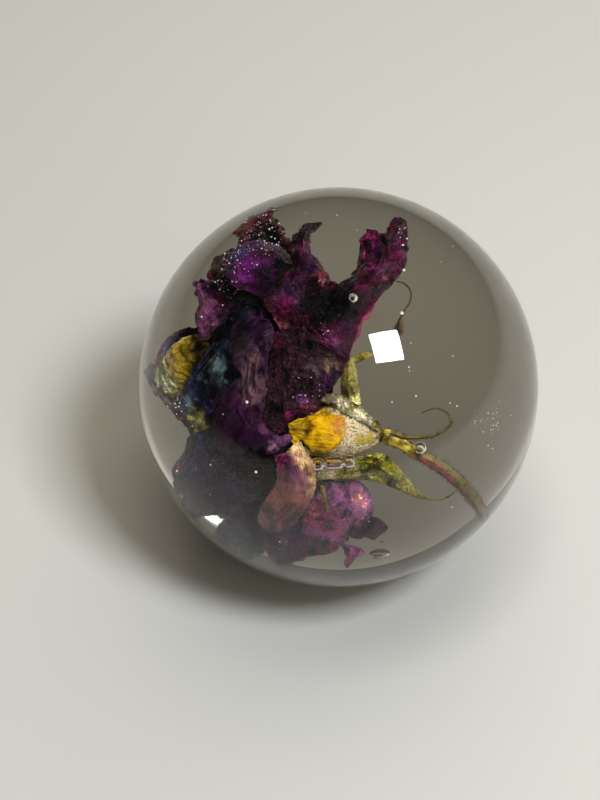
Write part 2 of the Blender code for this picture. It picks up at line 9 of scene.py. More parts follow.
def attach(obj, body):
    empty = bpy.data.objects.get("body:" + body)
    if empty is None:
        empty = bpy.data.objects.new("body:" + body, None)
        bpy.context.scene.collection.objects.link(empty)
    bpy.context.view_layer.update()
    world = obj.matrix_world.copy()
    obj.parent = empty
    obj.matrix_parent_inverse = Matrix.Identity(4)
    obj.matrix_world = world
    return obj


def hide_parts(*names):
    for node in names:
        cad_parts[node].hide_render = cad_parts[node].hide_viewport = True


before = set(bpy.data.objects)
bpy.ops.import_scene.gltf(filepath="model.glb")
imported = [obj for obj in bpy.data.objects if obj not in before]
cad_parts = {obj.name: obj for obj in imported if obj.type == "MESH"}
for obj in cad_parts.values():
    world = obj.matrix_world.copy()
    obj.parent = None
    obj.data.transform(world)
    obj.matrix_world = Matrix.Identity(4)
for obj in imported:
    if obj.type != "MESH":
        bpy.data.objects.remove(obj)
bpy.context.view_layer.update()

# A dried rose cast in a clear resin ball. Every petal is given by how it is seen through the ball from the
# front, in picture units across and down, and by how far it stands towards the eye in millimetres.
mm = 0.001
view = dict(
    pictureWidth=600, pictureHeight=800, ballSeenAt=(338.5, 387.0), ballSeenRadius=200.0,
    eyeDistance=0.300, eyeRise=math.radians(45),
)
ball = dict(
    radius=0.040, baseRadius=0.0112, refraction=1.5, longitudes=256, latitudes=128,
    tint=(0.97, 0.955, 0.90, 1),
)
ball["centreHeight"] = math.sqrt(ball["radius"] ** 2 - ball["baseRadius"] ** 2)

toRight = np.array([1.0, 0.0, 0.0])
toTop = np.array([0.0, math.sin(view["eyeRise"]), math.cos(view["eyeRise"])])
toEye = np.array([0.0, -math.cos(view["eyeRise"]), math.sin(view["eyeRise"])])
ballCentre = np.array([0.0, 0.0, ball["centreHeight"]])
pictureAxes = np.stack([toRight, toTop, toEye])
focal = view["ballSeenRadius"] / math.tan(math.asin(ball["radius"] / view["eyeDistance"]))
seenPerMetre = view["ballSeenRadius"] * ball["refraction"] / ball["radius"]


def entryOf(points):  # the sight of points seen at (across, down), and where it enters the ball
    across = (points[..., 0] - view["ballSeenAt"][0]) / focal
    down = (points[..., 1] - view["ballSeenAt"][1]) / focal
    sight = np.stack([across, -down, -np.ones_like(across)], axis=-1)
    sight /= np.linalg.norm(sight, axis=-1, keepdims=True)
    eye = np.array([0.0, 0.0, view["eyeDistance"]])
    along = sight @ eye
    reach = -along - np.sqrt(np.maximum(along**2 - view["eyeDistance"] ** 2 + ball["radius"] ** 2, 0))
    return sight, eye + sight * reach[..., None]


def placed(points):  # real places of points seen at (across, down), at a depth in millimetres
    points = np.asarray(points, dtype=float)
    sight, entry = entryOf(points)
    normal = entry / ball["radius"]
    cosine = -np.sum(sight * normal, axis=-1)
    bend = 1 / ball["refraction"]
    slant = bend * cosine - np.sqrt(1 - bend**2 * (1 - cosine**2))
    inside = bend * sight + slant[..., None] * normal
    step = (points[..., 2] * mm - entry[..., 2]) / inside[..., 2]
    seen = entry + inside * step[..., None]
    return seen @ pictureAxes + ballCentre


def smoothRows(rows, steps):  # Catmull-Rom curves through the rows
    rows = np.asarray(rows, dtype=float)
    padded = np.concatenate([2 * rows[:1] - rows[1:2], rows, 2 * rows[-1:] - rows[-2:-1]])
    result = []
    for index in range(1, len(padded) - 2):
        before, start, end, after = padded[index - 1 : index + 3]
        for step in range(steps):
            t = step / steps
            straight = 2 * start + (end - before) * t
            bent = (2 * before - 5 * start + 4 * end - after) * t**2
            sway = (3 * start - before - 3 * end + after) * t**3
            result.append(0.5 * (straight + bent + sway))
    result.append(rows[-1])
    return np.array(result)


def smoothGrid(grid):
    return smoothRows(smoothRows(grid, 3).transpose(1, 0, 2), 3).transpose(1, 0, 2)


# Sheets: petals and sepals as the solids have them
sheets = dict(
    stepsPerRow=8, stepsAcross=24, petalThickness=0.42, sepalThickness=0.6, gap=0.45, leastFacing=0.4,
    settlingRounds=8, bulbSquash=1.5, pileCell=2.0, pileCells=320,
)
emptyHeight = -1000.0


def petalSheet(rows):  # a grid of (across, down, depth) from rows of left, middle and right points
    lengthwise = smoothRows(rows, sheets["stepsPerRow"])
    v = np.linspace(0, 1, sheets["stepsAcross"] + 1)[None, :, None]
    left, middle, right = (lengthwise[:, None, side] for side in range(3))
    crown = 2 * middle - 0.5 * (left + right)
    return (1 - v) ** 2 * left + 2 * v * (1 - v) * crown + v**2 * right


def facingOf(sheet):  # how squarely each place of a sheet faces the eye
    places = placed(sheet)
    normal = np.cross(np.gradient(places, axis=0), np.gradient(places, axis=1))
    length = np.maximum(np.linalg.norm(normal, axis=-1), 1e-12)
    return np.maximum(np.abs(normal @ toEye) / length, sheets["leastFacing"])


def neighbours(grid, pick):  # each cell takes the largest or the mean of the nine round it
    edged = np.pad(grid, 1, mode="edge")
    rows, columns = grid.shape
    shifted = [edged[i : i + rows, j : j + columns] for i in range(3) for j in range(3)]
    return pick(np.stack(shifted), axis=0)


def wholeCells(used):  # the cells whose four corners are all used
    return used[:-1, :-1] & used[1:, :-1] & used[:-1, 1:] & used[1:, 1:]


class Pile:  # the surface of what has been laid so far, as heights over the picture
    def __init__(self, cell, count):
        self.cell, self.count = cell, count
        self.heights = np.full((count, count), emptyHeight)

    def cells(self, across, down):
        column = np.clip((across / self.cell).astype(int), 0, self.count - 1)
        row = np.clip((down / self.cell).astype(int), 0, self.count - 1)
        return row, column

    def under(self, sheet):
        return self.heights[self.cells(sheet[..., 0], sheet[..., 1])]

    def raiseTo(self, places):  # no lower than these places of (across, down, height)
        layer = np.full_like(self.heights, emptyHeight)
        np.maximum.at(layer, self.cells(places[..., 0], places[..., 1]), places[..., 2])
        self.heights = np.maximum(self.heights, neighbours(layer, np.max))

    def lay(self, sheet, heights):
        self.raiseTo(smoothGrid(np.concatenate([sheet[..., :2], heights[..., None]], axis=-1)))

    def layKept(self, sheet, heights, used):  # only the corners of a sheet that are used
        points = np.concatenate([sheet[..., :2], heights[..., None]], axis=-1)
        places = []
        for a in (0, 0.5):
            for b in (0, 0.5):
                near = points[:-1, :-1] * (1 - b) + points[:-1, 1:] * b
                far = points[1:, :-1] * (1 - b) + points[1:, 1:] * b
                places.append((near * (1 - a) + far * a)[wholeCells(used)])
        self.raiseTo(np.concatenate(places))

    def awayFrom(self, centre):  # how far each cell lies across and down from where a place is seen
        rows, columns = np.indices(self.heights.shape)
        across = (columns + 0.5) * self.cell - view["ballSeenAt"][0] - centre @ toRight * seenPerMetre
        down = (rows + 0.5) * self.cell - view["ballSeenAt"][1] + centre @ toTop * seenPerMetre
        return across, down

    def layBulb(self, centres, radii, side):  # a level oval that covers the bulb
        steps = np.concatenate([pictureAxes, -pictureAxes])
        corners = (centres[:, None] + steps * radii[:, None, None]).reshape(-1, 3) - ballCentre
        middle = corners.mean(axis=0)
        spread = np.linalg.norm(corners - middle, axis=1).max() * seenPerMetre
        across, down = self.awayFrom(middle)
        inside = across**2 + (down * sheets["bulbSquash"]) ** 2 < spread**2
        height = (side * (corners @ toEye) / mm).max()
        self.heights = np.where(inside, np.maximum(self.heights, height), self.heights)

    def layRoundBulb(self, centres, radii, side):  # the bulb as it is
        for centre, radius in zip(centres - ballCentre, radii):
            across, down = self.awayFrom(centre)
            left = (radius * seenPerMetre) ** 2 - across**2 - down**2
            height = (side * (centre @ toEye) + np.sqrt(np.maximum(left, 0)) / seenPerMetre) / mm
            self.heights = np.where(left > 0, np.maximum(self.heights, height), self.heights)


def settle(sheet, thickness, pile, side):  # lift a sheet off what lies under it
    half = 0.5 * thickness / facingOf(sheet)
    depth = side * sheet[..., 2]
    lift = np.maximum(pile.under(sheet) + sheets["gap"] + half - depth, 0)
    for _ in range(sheets["settlingRounds"]):
        lift = np.maximum(lift, neighbours(lift, np.mean))
    sheet = sheet.copy()
    sheet[..., 2] = side * (depth + lift)
    pile.lay(sheet, depth + lift + half)
    return sheet


def noiseAt(x, y, seed):  # smooth random heights from -1 to 1 over a plane
    columns, rows = np.floor(x).astype(np.int64), np.floor(y).astype(np.int64)
    u, v = x - columns, y - rows
    u, v = (w * w * w * (w * (w * 6 - 15) + 10) for w in (u, v))

    def corner(right, down):
        mixed = ((columns + right) * 374761393 + (rows + down) * 668265263 + seed * 1274126177) & 0xFFFFFFFF
        mixed = ((mixed ^ (mixed >> 13)) * 1103515245) & 0xFFFFFFFF
        return ((mixed ^ (mixed >> 16)) & 0xFFFF) / 32767.5 - 1

    top = corner(0, 0) * (1 - u) + corner(1, 0) * u
    bottom = corner(0, 1) * (1 - u) + corner(1, 1) * u
    return top * (1 - v) + bottom * v


def sampled(grid, rowPlace, columnPlace):  # the grid's values between its rows and columns
    rows, columns = grid.shape[:2]
    row = np.clip(rowPlace * (rows - 1), 0, rows - 1.001)
    column = np.clip(columnPlace * (columns - 1), 0, columns - 1.001)
    i, j = row.astype(int), column.astype(int)
    a, b = (row - i)[..., None], (column - j)[..., None]
    near = grid[i, j] * (1 - b) + grid[i, j + 1] * b
    far = grid[i + 1, j] * (1 - b) + grid[i + 1, j + 1] * b
    return near * (1 - a) + far * a


# How the petals and sepals are seen, the near ones laid towards the eye and the far ones away from it
nearSheets = {
    "petal_heart_near": [
        [(300, 440, 1), (302, 430, 2), (304, 420, 1)], [(262, 430, 1), (265, 405, 4), (268, 380, 1)],
        [(225, 430, 1), (228, 400, 4.5), (232, 368, 1)], [(210, 420, 0), (208, 395, 3), (214, 368, 0)],
    ],
    "petal_crest": [
        [(285, 345, 2), (300, 345, 3), (315, 345, 2)], [(228, 302, 0), (262, 290, 3), (300, 285, 1)],
        [(205, 276, -2), (240, 262, 1), (294, 246, -2)], [(218, 252, -4), (250, 238, -1), (288, 234, -4)],
        [(237, 228, -6), (258, 222, -3), (279, 221, -5)],
        [(250, 213, -7), (263, 208, -6), (276, 210, -6)],
    ],
    "petal_yellow": [
        [(190, 404, -2), (201, 396, -1), (210, 386, -2)], [(175, 395, -2), (189, 379, 0), (207, 364, -1)],
        [(162, 389, -3), (175, 363, 0), (208, 351, -1)], [(154, 376, -4), (168, 346, -2), (207, 338, -3)],
    ],
    "petal_left": [
        [(255, 380, 0), (265, 370, 1), (275, 360, 0)], [(208, 341, 0), (228, 330, 2), (248, 318, 0)],
        [(196, 325, -1), (215, 310, 2), (236, 300, 0)], [(195, 300, -2), (207, 294, 1), (224, 290, -1)],
        [(193, 283, -3), (201, 280, -1), (213, 281, -2)],
    ],
    "petal_dark": [
        [(270, 400, 4), (290, 400, 6), (310, 400, 5)], [(215, 350, 2), (255, 345, 7), (300, 345, 6)],
        [(208, 318, 1), (245, 300, 5), (290, 300, 5)], [(225, 300, -1), (250, 290, 2), (275, 290, 2)],
    ],
    "petal_blue": [
        [(262, 430, 4), (272, 420, 5), (280, 405, 4)], [(208, 437, 2), (228, 415, 6), (245, 385, 6)],
        [(186, 425, 1), (205, 395, 6), (238, 352, 5)], [(176, 408, 0), (190, 380, 4), (222, 338, 3)],
        [(180, 392, -1), (190, 372, 2), (208, 345, 1)],
    ],
    "petal_violet": [
        [(285, 350, 6), (296, 350, 7), (308, 345, 6)], [(250, 292, 6), (275, 290, 8), (300, 285, 6)],
        [(226, 280, 5), (256, 268, 9), (288, 262, 5)], [(221, 265, 3), (250, 252, 7), (280, 248, 3)],
        [(234, 246, 0), (252, 240, 3), (270, 243, 1)],
    ],
    "petal_pink": [
        [(322, 385, 4), (332, 385, 5), (342, 385, 4)], [(325, 345, 5), (340, 345, 6), (353, 347, 5)],
        [(335, 320, 5), (352, 318, 6), (364, 325, 4)], [(350, 300, 4), (362, 300, 5), (372, 308, 3)],
    ],
    "petal_spike": [
        [(285, 375, 8), (300, 375, 9), (318, 375, 8)], [(283, 328, 7), (304, 328, 9.5), (330, 325, 8)],
        [(264, 304, 7), (300, 288, 9), (340, 281, 6)], [(287, 268, 4), (302, 266, 8), (325, 268, 4)],
        [(291, 247, 3), (302, 246, 6), (313, 247, 2)], [(294, 235, 1), (304, 233, 4), (313, 232, 0)],
        [(301, 224, -1), (311, 224, 0), (321, 224, -1)],
    ],
    "petal_slate_low": [
        [(305, 490, 2), (300, 480, 3), (290, 474, 2)], [(290, 545, 1), (270, 515, 4), (250, 485, 3)],
        [(264, 553, -1), (246, 530, 2), (231, 503, 1)], [(249, 559, -3), (228, 547, -1), (210, 531, -2)],
    ],
    "petal_slate": [
        [(300, 470, 4), (303, 460, 5), (305, 448, 4)], [(262, 512, 6), (275, 475, 9), (262, 445, 7)],
        [(228, 513, 4), (235, 475, 8), (228, 440, 5)], [(196, 516, 1), (205, 478, 5), (197, 432, 2)],
        [(180, 502, -1), (184, 475, 2), (186, 446, 0)], [(171, 490, -2), (170, 478, -1), (176, 462, -2)],
    ],
    "petal_flap": [
        [(340, 520, 0), (345, 528, 0), (350, 536, 0)], [(358, 512, -1), (362, 524, -0.5), (362, 537, -1)],
        [(374, 516, -2), (378, 527, -1), (371, 541, -2)],
        [(383, 521, -3), (388, 527, -2.5), (383, 533, -3)],
    ],
    "petal_scrap": [
        [(336, 540, 0), (342, 543, 0.5), (350, 545, 0)], [(346, 550, -1), (354, 550, 0), (364, 551, -1)],
        [(344, 560, -2), (350, 561, -1), (358, 560, -2)],
        [(344, 567, -2.5), (347, 568, -2), (350, 566, -2.5)],
    ],
    "petal_plum": [
        [(320, 480, 4), (310, 478, 5), (300, 476, 4)], [(335, 515, 3), (305, 512, 6), (275, 505, 4)],
        [(342, 545, 1), (305, 540, 4), (266, 535, 2)], [(336, 553, 0), (304, 562, 1), (271, 560, 0)],
    ],
    "petal_cup": [
        [(322, 486, 3), (326, 482, 4), (332, 481, 3)], [(312, 505, 4), (335, 498, 8), (352, 480, 4)],
        [(308, 522, 3), (340, 515, 8), (371, 496, 3)], [(313, 537, 1), (345, 532, 5), (375, 517, 1)],
        [(330, 544, -1), (347, 540, 1), (366, 532, -1)],
    ],
    "petal_horn": [
        [(296, 388, 8), (310, 384, 9), (326, 382, 8)], [(300, 345, 10), (325, 345, 12), (350, 350, 9)],
        [(318, 305, 9), (345, 302, 11.5), (372, 309, 7)], [(343, 281, 6), (366, 280, 9), (388, 287, 4)],
        [(357, 264, 3), (380, 260, 6), (403, 268, 2)], [(360, 244, 1), (382, 242, 4.5), (408, 246, 1)],
        [(367, 229, 0), (386, 228, 2), (409, 228, -1)], [(383, 221, -1), (395, 213, 0.5), (406, 217, -2)],
    ],
    "petal_maroon": [
        [(286, 434, 8), (292, 424, 9), (298, 416, 8)], [(270, 420, 10), (292, 400, 12), (318, 408, 9)],
        [(260, 385, 11), (294, 372, 13), (336, 388, 9)], [(258, 355, 11), (296, 346, 13), (345, 364, 9)],
        [(268, 328, 9), (292, 326, 10.5), (318, 332, 9)],
    ],
    "sepal_lower": [
        [(318, 470, 7), (317, 475, 7.5), (318, 480, 7)], [(341, 464, 7), (341, 472, 8), (342, 479, 7)],
        [(362, 456, 6), (361, 468, 8), (362, 480, 6)], [(382, 453, 5), (379, 468, 7), (376, 482, 5)],
        [(396, 463, 4), (393, 475, 6), (388, 486, 4)], [(409, 480, 4), (404, 486, 5), (399, 491, 4)],
        [(424, 495, 4), (420, 497, 4.6), (416, 498, 4)],
        [(438, 498.5, 4), (437.5, 500, 4.2), (437, 501.5, 4)],
        [(448, 495, 4), (448.5, 496.5, 4.2), (449, 498, 4)],
        [(457, 487, 4), (458.5, 488, 4.2), (460, 489, 4)],
    ],
    "sepal_short": [
        [(319, 486, 9), (322, 485, 9.5), (325, 487, 9)],
        [(321, 496, 9.5), (323.5, 496, 10), (326, 497, 9.5)],
        [(324, 505, 9.5), (326, 506, 10), (328, 505, 9.5)],
        [(327, 512, 9), (328.5, 512.5, 9.2), (330, 512, 9)],
    ],
    "petal_gold": [
        [(346, 418, 7), (350, 432, 7.5), (345, 447, 7)], [(335, 421, 8), (337, 440, 10.5), (328, 457, 8)],
        [(318, 412, 8), (314, 437, 11), (311, 455, 8)], [(298, 418, 7), (292, 432, 9), (296, 445, 7)],
    ],
    "petal_tan": [
        [(295, 444, 8), (299, 440, 8.5), (303, 446, 8)], [(280, 455, 9), (298, 458, 11.5), (313, 464, 9)],
        [(274, 476, 9), (298, 484, 13), (319, 483, 9)], [(266, 498, 9), (292, 507, 12), (313, 500, 8)],
        [(259, 510, 8), (278, 527, 9), (298, 522, 7)],
    ],
    "sepal_upper": [
        [(379, 423, 7), (380, 428, 7.5), (378, 434, 7)], [(366, 411, 8), (364, 418, 8.5), (363, 427, 8)],
        [(349, 398, 8), (347, 405, 9), (347, 414, 9)], [(334, 391, 7), (331, 396, 8), (330, 403, 8)],
    ],
    "petal_mauve": [
        [(300, 462, 7), (305, 450, 9), (312, 436, 8)], [(235, 466, 9), (268, 440, 13), (290, 415, 12)],
        [(214, 436, 8), (240, 412, 13.5), (266, 395, 14)],
        [(216, 398, 8), (242, 372, 13), (265, 362, 14)], [(230, 350, 7), (246, 338, 11), (270, 330, 12)],
        [(236, 326, 5), (252, 319, 8), (275, 318, 9)],
    ],
}

# The far ones are laid from the heart of the rose away from the eye, in this order.
farSheets = {
    "petal_heart_far": [
        [(300, 438, -1), (302, 430, -1.5), (304, 422, -1)],
        [(262, 428, -1), (265, 402, -4.5), (268, 380, -1)],
        [(228, 428, -1), (228, 398, -5), (234, 370, -1)],
        [(212, 415, -1), (210, 392, -4), (216, 370, -1)],
    ],
    "petal_rim": [
        [(245, 372, -4), (240, 395, -3), (240, 418, -2)],
        [(212, 330, -6), (205, 380, -6), (203, 434, -1)],
        [(193, 325, -6), (178, 375, -7), (187, 427, -1)],
        [(176, 330, -6), (162, 370, -6.5), (172, 414, -1)],
        [(163, 342, -6), (150, 372, -5.5), (158, 400, -2)],
        [(150, 362, -5), (143, 371, -5), (147, 385, -3)],
    ],
    "sepal_back": [
        [(344, 398, 1), (352, 400, 1.5), (360, 400, 1)], [(346, 385, 1), (352, 385, 2), (359, 386, 1)],
        [(349, 368, 0.5), (354, 368, 1), (358, 368, 0.5)],
        [(360, 357, 0), (362, 358, 0.2), (364, 359, 0)],
        [(369, 352.5, -0.5), (370, 354, -0.3), (371, 355.5, -0.5)],
    ],
    "petal_back_1": [
        [(296, 405, -3), (312, 412, -3.5), (330, 416, -3)],
        [(255, 350, -5), (295, 345, -9), (335, 352, -6)],
        [(240, 305, -6), (288, 290, -11), (336, 300, -7)],
        [(262, 268, -6), (290, 262, -9), (318, 272, -6)],
    ],
    "petal_back_2": [
        [(298, 444, -3), (296, 436, -3.5), (296, 426, -3)],
        [(235, 460, -9), (245, 420, -14), (245, 385, -11)],
        [(200, 455, -8), (205, 405, -15), (212, 365, -11)],
        [(185, 430, -5), (185, 400, -9), (195, 370, -7)],
    ],
    "petal_back_3": [
        [(324, 456, -3), (316, 456, -3.5), (306, 454, -3)],
        [(345, 500, -4), (315, 505, -9), (280, 498, -6)],
        [(350, 530, -2), (315, 545, -7), (270, 530, -5)],
        [(335, 548, -2), (305, 557, -4), (275, 550, -3)],
    ],
    "petal_back_4": [
        [(306, 452, -4), (300, 450, -4.5), (296, 444, -4)],
        [(275, 500, -7), (255, 470, -12), (240, 440, -9)],
        [(245, 520, -7), (225, 490, -13), (205, 455, -9)],
        [(220, 525, -4), (205, 500, -8), (192, 475, -5)],
    ],
    "petal_back_5": [
        [(296, 430, -4), (298, 422, -4.5), (304, 414, -4)],
        [(235, 400, -8), (255, 370, -11), (285, 350, -9)],
        [(205, 370, -8), (225, 330, -13), (262, 310, -10)],
        [(205, 335, -6), (225, 305, -9), (250, 295, -8)],
    ],
    "petal_back_6": [
        [(300, 424, -8), (306, 418, -9), (314, 414, -8)],
        [(268, 385, -17), (292, 368, -20), (318, 366, -16)],
        [(255, 345, -16), (285, 328, -20), (318, 338, -15)],
    ],
    "petal_back_7": [
        [(316, 458, -7), (306, 458, -8), (298, 452, -7)],
        [(305, 500, -13), (280, 492, -17), (258, 470, -15)],
        [(285, 525, -12), (255, 512, -16), (235, 480, -13)],
    ],
    "petal_back_8": [
        [(296, 446, -8), (292, 438, -9), (294, 430, -8)],
        [(252, 450, -17), (250, 425, -21), (262, 398, -17)],
        [(228, 440, -16), (226, 408, -20), (240, 378, -16)],
    ],
}

# Threads: points along the middle with the radius in millimetres
stemPath = [
    (390, 438.5, 3.8, 0.95), (400, 443, 3.4, 0.8), (414, 452, 3, 0.75), (427, 459, 2.6, 0.85),
    (446, 471, 2, 0.92), (463, 486, 1.4, 0.92), (477, 503, 0.8, 0.92), (486, 519, 0.2, 0.92),
]
tendrilPath = [
    (387, 431.5, 7.2, 0.34), (396, 434, 7, 0.46), (408, 437.5, 6.5, 0.3), (433, 436, 6, 0.2),
    (449, 426, 5.8, 0.18), (449, 415, 5.6, 0.15), (440, 409, 5.4, 0.14), (431, 409, 5.2, 0.12),
    (422, 413, 5, 0.1),
]
stamenPath = [
    (396, 281, 0.5, 0.12), (405, 284, 0.3, 0.13), (411, 292, 0.1, 0.13), (410, 302, 0, 0.15),
    (405, 310, 0, 0.16), (402.5, 316, 0, 0.26), (400.5, 323, 0, 0.52), (399, 330, 0, 0.72),
    (398, 336, 0, 0.35),
]
bulbEnds = ((386, 436, 4), (300, 431, 3.5))
bulbProfile = (
    (0.0, 0.30), (0.10, 0.42), (0.25, 0.70), (0.42, 0.94), (0.60, 1.0), (0.78, 0.90), (0.92, 0.62),
    (1.0, 0.30),
)

# Colours of the dried rose as they show on a screen, 0 to 255
palette = dict(
    black=(7, 4, 13), inkBlue=(24, 22, 46), navy=(32, 34, 56), indigo=(60, 50, 104),
    slateBlue=(56, 64, 94), teal=(66, 80, 82), violet=(100, 18, 106),
    deepPurple=(38, 12, 42), purple=(60, 22, 62), orchid=(88, 36, 72), lilac=(124, 90, 112),
    plum=(84, 44, 78), greyPlum=(76, 58, 72), mauve=(60, 42, 58), paleMauve=(98, 68, 78),
    magenta=(84, 14, 58), brightMagenta=(134, 30, 92), dustyPink=(140, 80, 92), rosePink=(154, 64, 96),
    palePink=(200, 134, 134), wine=(54, 14, 32), maroon=(46, 25, 35), dustyWine=(80, 36, 48),
    redBrown=(80, 32, 42), veilRed=(116, 50, 60), greyBrown=(92, 76, 76), darkBrown=(48, 32, 16),
    brownTan=(110, 86, 74), dustyRose=(148, 90, 96), cream=(224, 192, 136), straw=(186, 156, 108),
    mustard=(124, 102, 22), oldGold=(148, 122, 28), gold=(208, 158, 16), orange=(186, 124, 56),
    olive=(140, 136, 64), paleGreen=(190, 194, 144), darkSlate=(26, 16, 40), slate=(48, 24, 68),
    greySlate=(62, 54, 72), lightSlate=(84, 80, 90), brightViolet=(140, 44, 142), dustyPlum=(96, 58, 88),
    tealGrey=(88, 108, 114), blueViolet=(82, 62, 130), cupRose=(108, 52, 84), dustyTan=(142, 92, 94),
    darkMustard=(104, 74, 6), paleBrown=(134, 108, 104), lilacPlum=(116, 64, 108),
)

